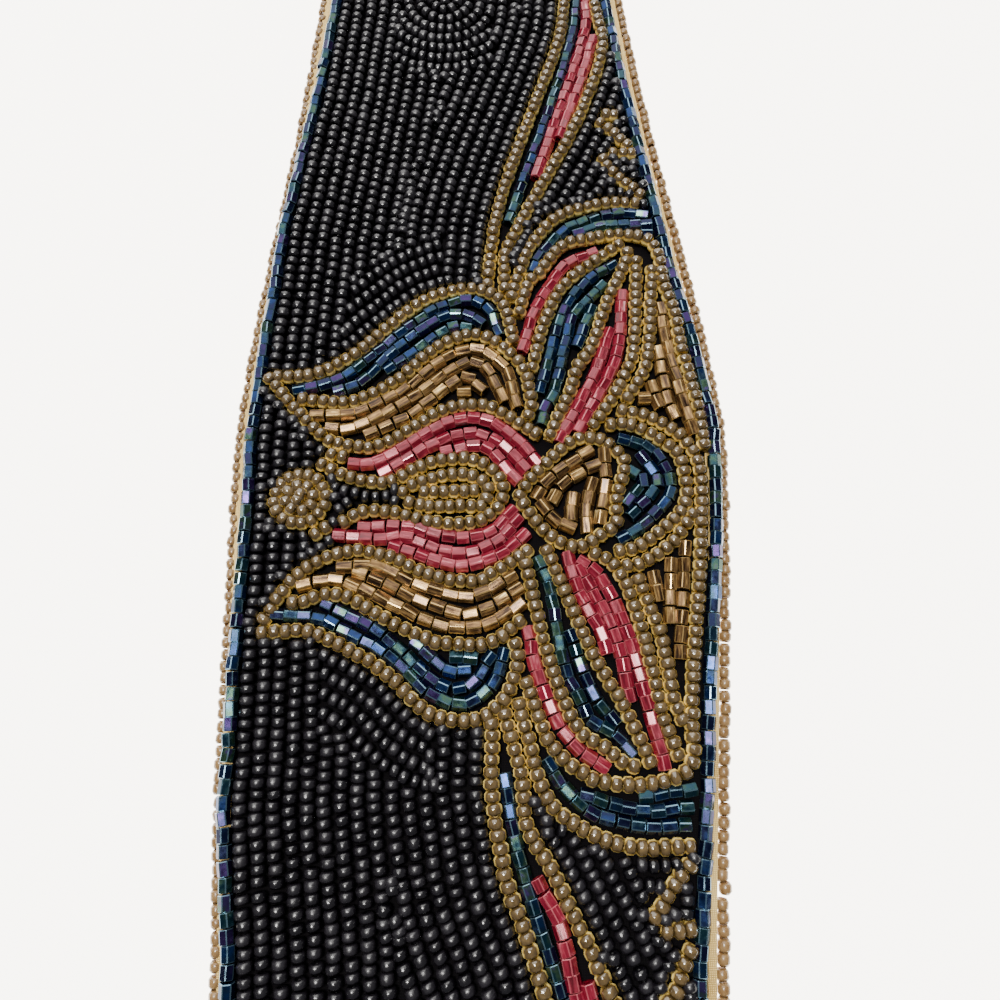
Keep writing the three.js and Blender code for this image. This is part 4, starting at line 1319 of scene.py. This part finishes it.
@dataclass
class Cloth:
    """The cloth under the beads: the black facing on the gold backing, and the gold fold at each edge."""

    finishes: Finishes
    inset: float = 0.35
    fold_width: float = 1.5
    fold_height: float = 0.42
    fold_level: float = 1.55
    fold_tuck: float = 0.1

    def dressed(self, bm: bmesh.types.BMesh, name: str, material: bpy.types.Material) -> bpy.types.Object:
        """Makes a piece from a finished bmesh and dresses it.

        Args:
            bm: the mesh, in metres; it is freed.
            name: the piece's name.
            material: its finish.

        Returns:
            The piece.
        """
        bmesh.ops.recalc_face_normals(bm, faces=bm.faces[:])
        mesh = bpy.data.meshes.new(name)
        bm.to_mesh(mesh)
        bm.free()
        piece = shown(name, mesh, material)
        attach(piece, "root")
        log.info("%s: %d faces", name, len(mesh.polygons))
        return piece

    def facing(self) -> bpy.types.Object:
        """Cuts the black facing from the backing's top, a little narrower, and lays it on."""
        bm = bmesh.new()
        bm.from_mesh(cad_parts["cloth_backing"].data)
        bmesh.ops.remove_doubles(bm, verts=bm.verts[:], dist=1e-6)
        bm.normal_update()
        bmesh.ops.delete(bm, geom=[f for f in bm.faces if f.normal.z < 0.9], context="FACES")
        bmesh.ops.inset_region(bm, faces=bm.faces[:], thickness=self.inset * MM, use_boundary=True,
                               use_even_offset=True)
        rim = [f for f in bm.faces if any(e.is_boundary for e in f.edges)]
        bmesh.ops.delete(bm, geom=rim, context="FACES")
        area = sum(f.calc_area() for f in bm.faces)
        raised = bmesh.ops.extrude_face_region(bm, geom=bm.faces[:])["geom"]
        moved = [g for g in raised if isinstance(g, bmesh.types.BMVert)]
        bmesh.ops.translate(bm, vec=(0, 0, FACING_THICKNESS * MM), verts=moved)
        piece = self.dressed(bm, "facing_cloth", self.finishes.black_cloth)
        return piece

    def fold(self, side: str, line: np.ndarray) -> bpy.types.Object:
        """Lays the narrow gold fold that shows between the edge tubes and the outer beads.

        Args:
            side: left or right.
            line: the middle line of the outer beads.

        Returns:
            The piece.
        """
        inward = 1 if side == "left" else -1
        x, y = line[0]
        middle = x + inward * (self.fold_width / 2 - self.fold_tuck)
        size = (self.fold_width * MM * SQUARE_CORNER, 1.0, self.fold_height * MM * SQUARE_CORNER)
        bm = bmesh.new()
        bmesh.ops.create_circle(bm, segments=4, radius=0.5)
        bmesh.ops.rotate(bm, matrix=Matrix.Rotation(math.pi / 4, 3, "Z"), verts=bm.verts[:])
        bmesh.ops.rotate(bm, matrix=Matrix.Rotation(math.pi / 2, 3, "X"), verts=bm.verts[:])
        bmesh.ops.scale(bm, vec=size, verts=bm.verts[:])
        bmesh.ops.translate(bm, vec=(middle * MM, y * MM, self.fold_level * MM), verts=bm.verts[:])
        rim = bm.edges[:]
        for (ax, ay), (bx, by) in zip(line, line[1:]):
            made = bmesh.ops.extrude_edge_only(bm, edges=rim)["geom"]
            moved = {g for g in made if isinstance(g, bmesh.types.BMVert)}
            rim = [g for g in made if isinstance(g, bmesh.types.BMEdge) and moved.issuperset(g.verts)]
            bmesh.ops.translate(bm, vec=((bx - ax) * MM, (by - ay) * MM, 0), verts=list(moved))
        bmesh.ops.holes_fill(bm, edges=bm.edges[:], sides=4)
        return self.dressed(bm, f"gold_fold_{side}", self.finishes.gold_satin)


@dataclass
class Belt:
    """The whole belt: its beads by piece, its cloth and its clasp."""

    finishes: Finishes
    layout: Layout
    seed: int = 7

    def pieces(self) -> list[BeadPiece]:
        """Every sewn piece, with the nodes that it stands for."""
        out = []
        for base, places in self.layout.threads.items():
            nodes = (base,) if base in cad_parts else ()
            for skin, name in ((Skin.NEAR, f"{base}_beads"), (Skin.FAR, f"{base}_beads_tail")):
                kept = [p for p in places if (NEAR_LOW < p.y < NEAR_TOP) == (skin is Skin.NEAR)]
                if kept:
                    out.append(BeadPiece(name, kind_of(base), skin, kept, nodes))
        return out

    def build(self) -> None:
        """Builds every piece and dresses the solids that stay."""
        dice = np.random.default_rng(self.seed)
        for piece in self.pieces():
            piece.build(self.finishes, dice)
        cloth = Cloth(self.finishes)
        cloth.facing()
        for side, line in self.layout.outer.items():
            cloth.fold(side, line)
        kept = {"cloth_backing": self.finishes.gold_satin, "clasp_hook": self.finishes.nickel,
                "clasp_eye": self.finishes.nickel}
        for node, material in kept.items():
            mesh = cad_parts[node].data
            mesh.materials.clear()
            mesh.materials.append(material)
            log.info("%s: dressed in %s", node, material.name)


@dataclass
class Studio:
    """The pale floor, the soft lights and the camera held close over the belt."""

    floor_size: float = 4.0
    floor_drop: float = 0.0002
    floor_pale: Stops = ((0.3, (0.86, 0.835, 0.795)), (0.7, (0.88, 0.855, 0.82)))
    floor_glow: Colour = (1.0, 0.95, 0.85)
    glow_strength: float = 6.0
    lens: float = 27.36
    sensor: float = 36.0
    clip: tuple[float, float] = (0.005, 20.0)
    camera_place: tuple[float, float, float] = (2.85, -30.67, 104.4)
    camera_pitch: float = 15.96
    camera_turn: float = -0.46
    world_colour: Colour = (0.93, 0.95, 1.0)
    world_strength: float = 0.2
    lamps_aim: tuple[float, float, float] = (0, 0.02, 0)

    def camera(self) -> None:
        """Sets the camera where the photograph was taken from."""
        data = bpy.data.cameras.new("camera")
        data.lens = self.lens
        data.sensor_width = self.sensor
        data.clip_start, data.clip_end = self.clip
        camera = bpy.data.objects.new("camera", data)
        camera.location = Vector(self.camera_place) * MM
        camera.rotation_euler = Euler((math.radians(self.camera_pitch), 0, math.radians(self.camera_turn)))
        bpy.context.scene.collection.objects.link(camera)
        bpy.context.scene.camera = camera

    def floor(self) -> None:
        """Lays the pale matt table, which shines a little by itself to come up to the photo's white."""
        bm = bmesh.new()
        bmesh.ops.create_grid(bm, x_segments=8, y_segments=8, size=self.floor_size / 2)
        bmesh.ops.translate(bm, vec=(0, 0, -self.floor_drop), verts=bm.verts[:])
        mesh = bpy.data.meshes.new("floor")
        bm.to_mesh(mesh)
        bm.free()
        tree = Tree("pale_table")
        cloud = tree.noise(tree.place(), 6.0, 3.0)
        material = tree.finish(
            Base_Color=tree.ramp(cloud, self.floor_pale), Roughness=0.6,
            Emission_Color=(*self.floor_glow, 1.0), Emission_Strength=self.glow_strength)
        floor = shown("floor", mesh, material)

    def lamp(self, name: str, place: tuple[float, float, float], size: float, power: float,
             colour: Colour) -> None:
        """Hangs one soft square light that faces the belt's middle.

        Args:
            name: the light's name.
            place: where it hangs, in metres.
            size: its side, in metres.
            power: its power in watts.
            colour: its colour.
        """
        data = bpy.data.lights.new(name, "AREA")
        data.shape = "SQUARE"
        data.size = size
        data.energy = power
        data.color = colour
        lamp = bpy.data.objects.new(name, data)
        lamp.location = place
        lamp.rotation_euler = (Vector(self.lamps_aim) - Vector(place)).to_track_quat("-Z", "Y").to_euler()
        bpy.context.scene.collection.objects.link(lamp)

    def lights(self) -> None:
        """Lights the room: a pale world, a broad light ahead and a small one overhead."""
        world = bpy.data.worlds.new("studio")
        bpy.context.scene.world = world
        world.use_nodes = True
        background = world.node_tree.nodes["Background"]
        background.inputs["Color"].default_value = (*self.world_colour, 1.0)
        background.inputs["Strength"].default_value = self.world_strength
        self.lamp("window", (-0.4, 1.5, 1.3), 2.3, 60.0, (1.0, 0.985, 0.955))
        self.lamp("ceiling", (-0.3, 0.08, 1.5), 0.38, 30.0, (1.0, 0.98, 0.945))


def main() -> None:
    """Builds the studio, lays the beads and dresses the belt."""
    logging.basicConfig(level=logging.INFO, format="%(name)s %(message)s")
    studio = Studio()
    studio.camera()
    studio.floor()
    studio.lights()
    layout = Layout()
    layout.edges()
    layout.flower()
    layout.ground_rows()
    log.info("laid %d beads", sum(len(places) for places in layout.threads.values()))
    Belt(Finishes(), layout).build()


if __name__ == "__main__":
    main()
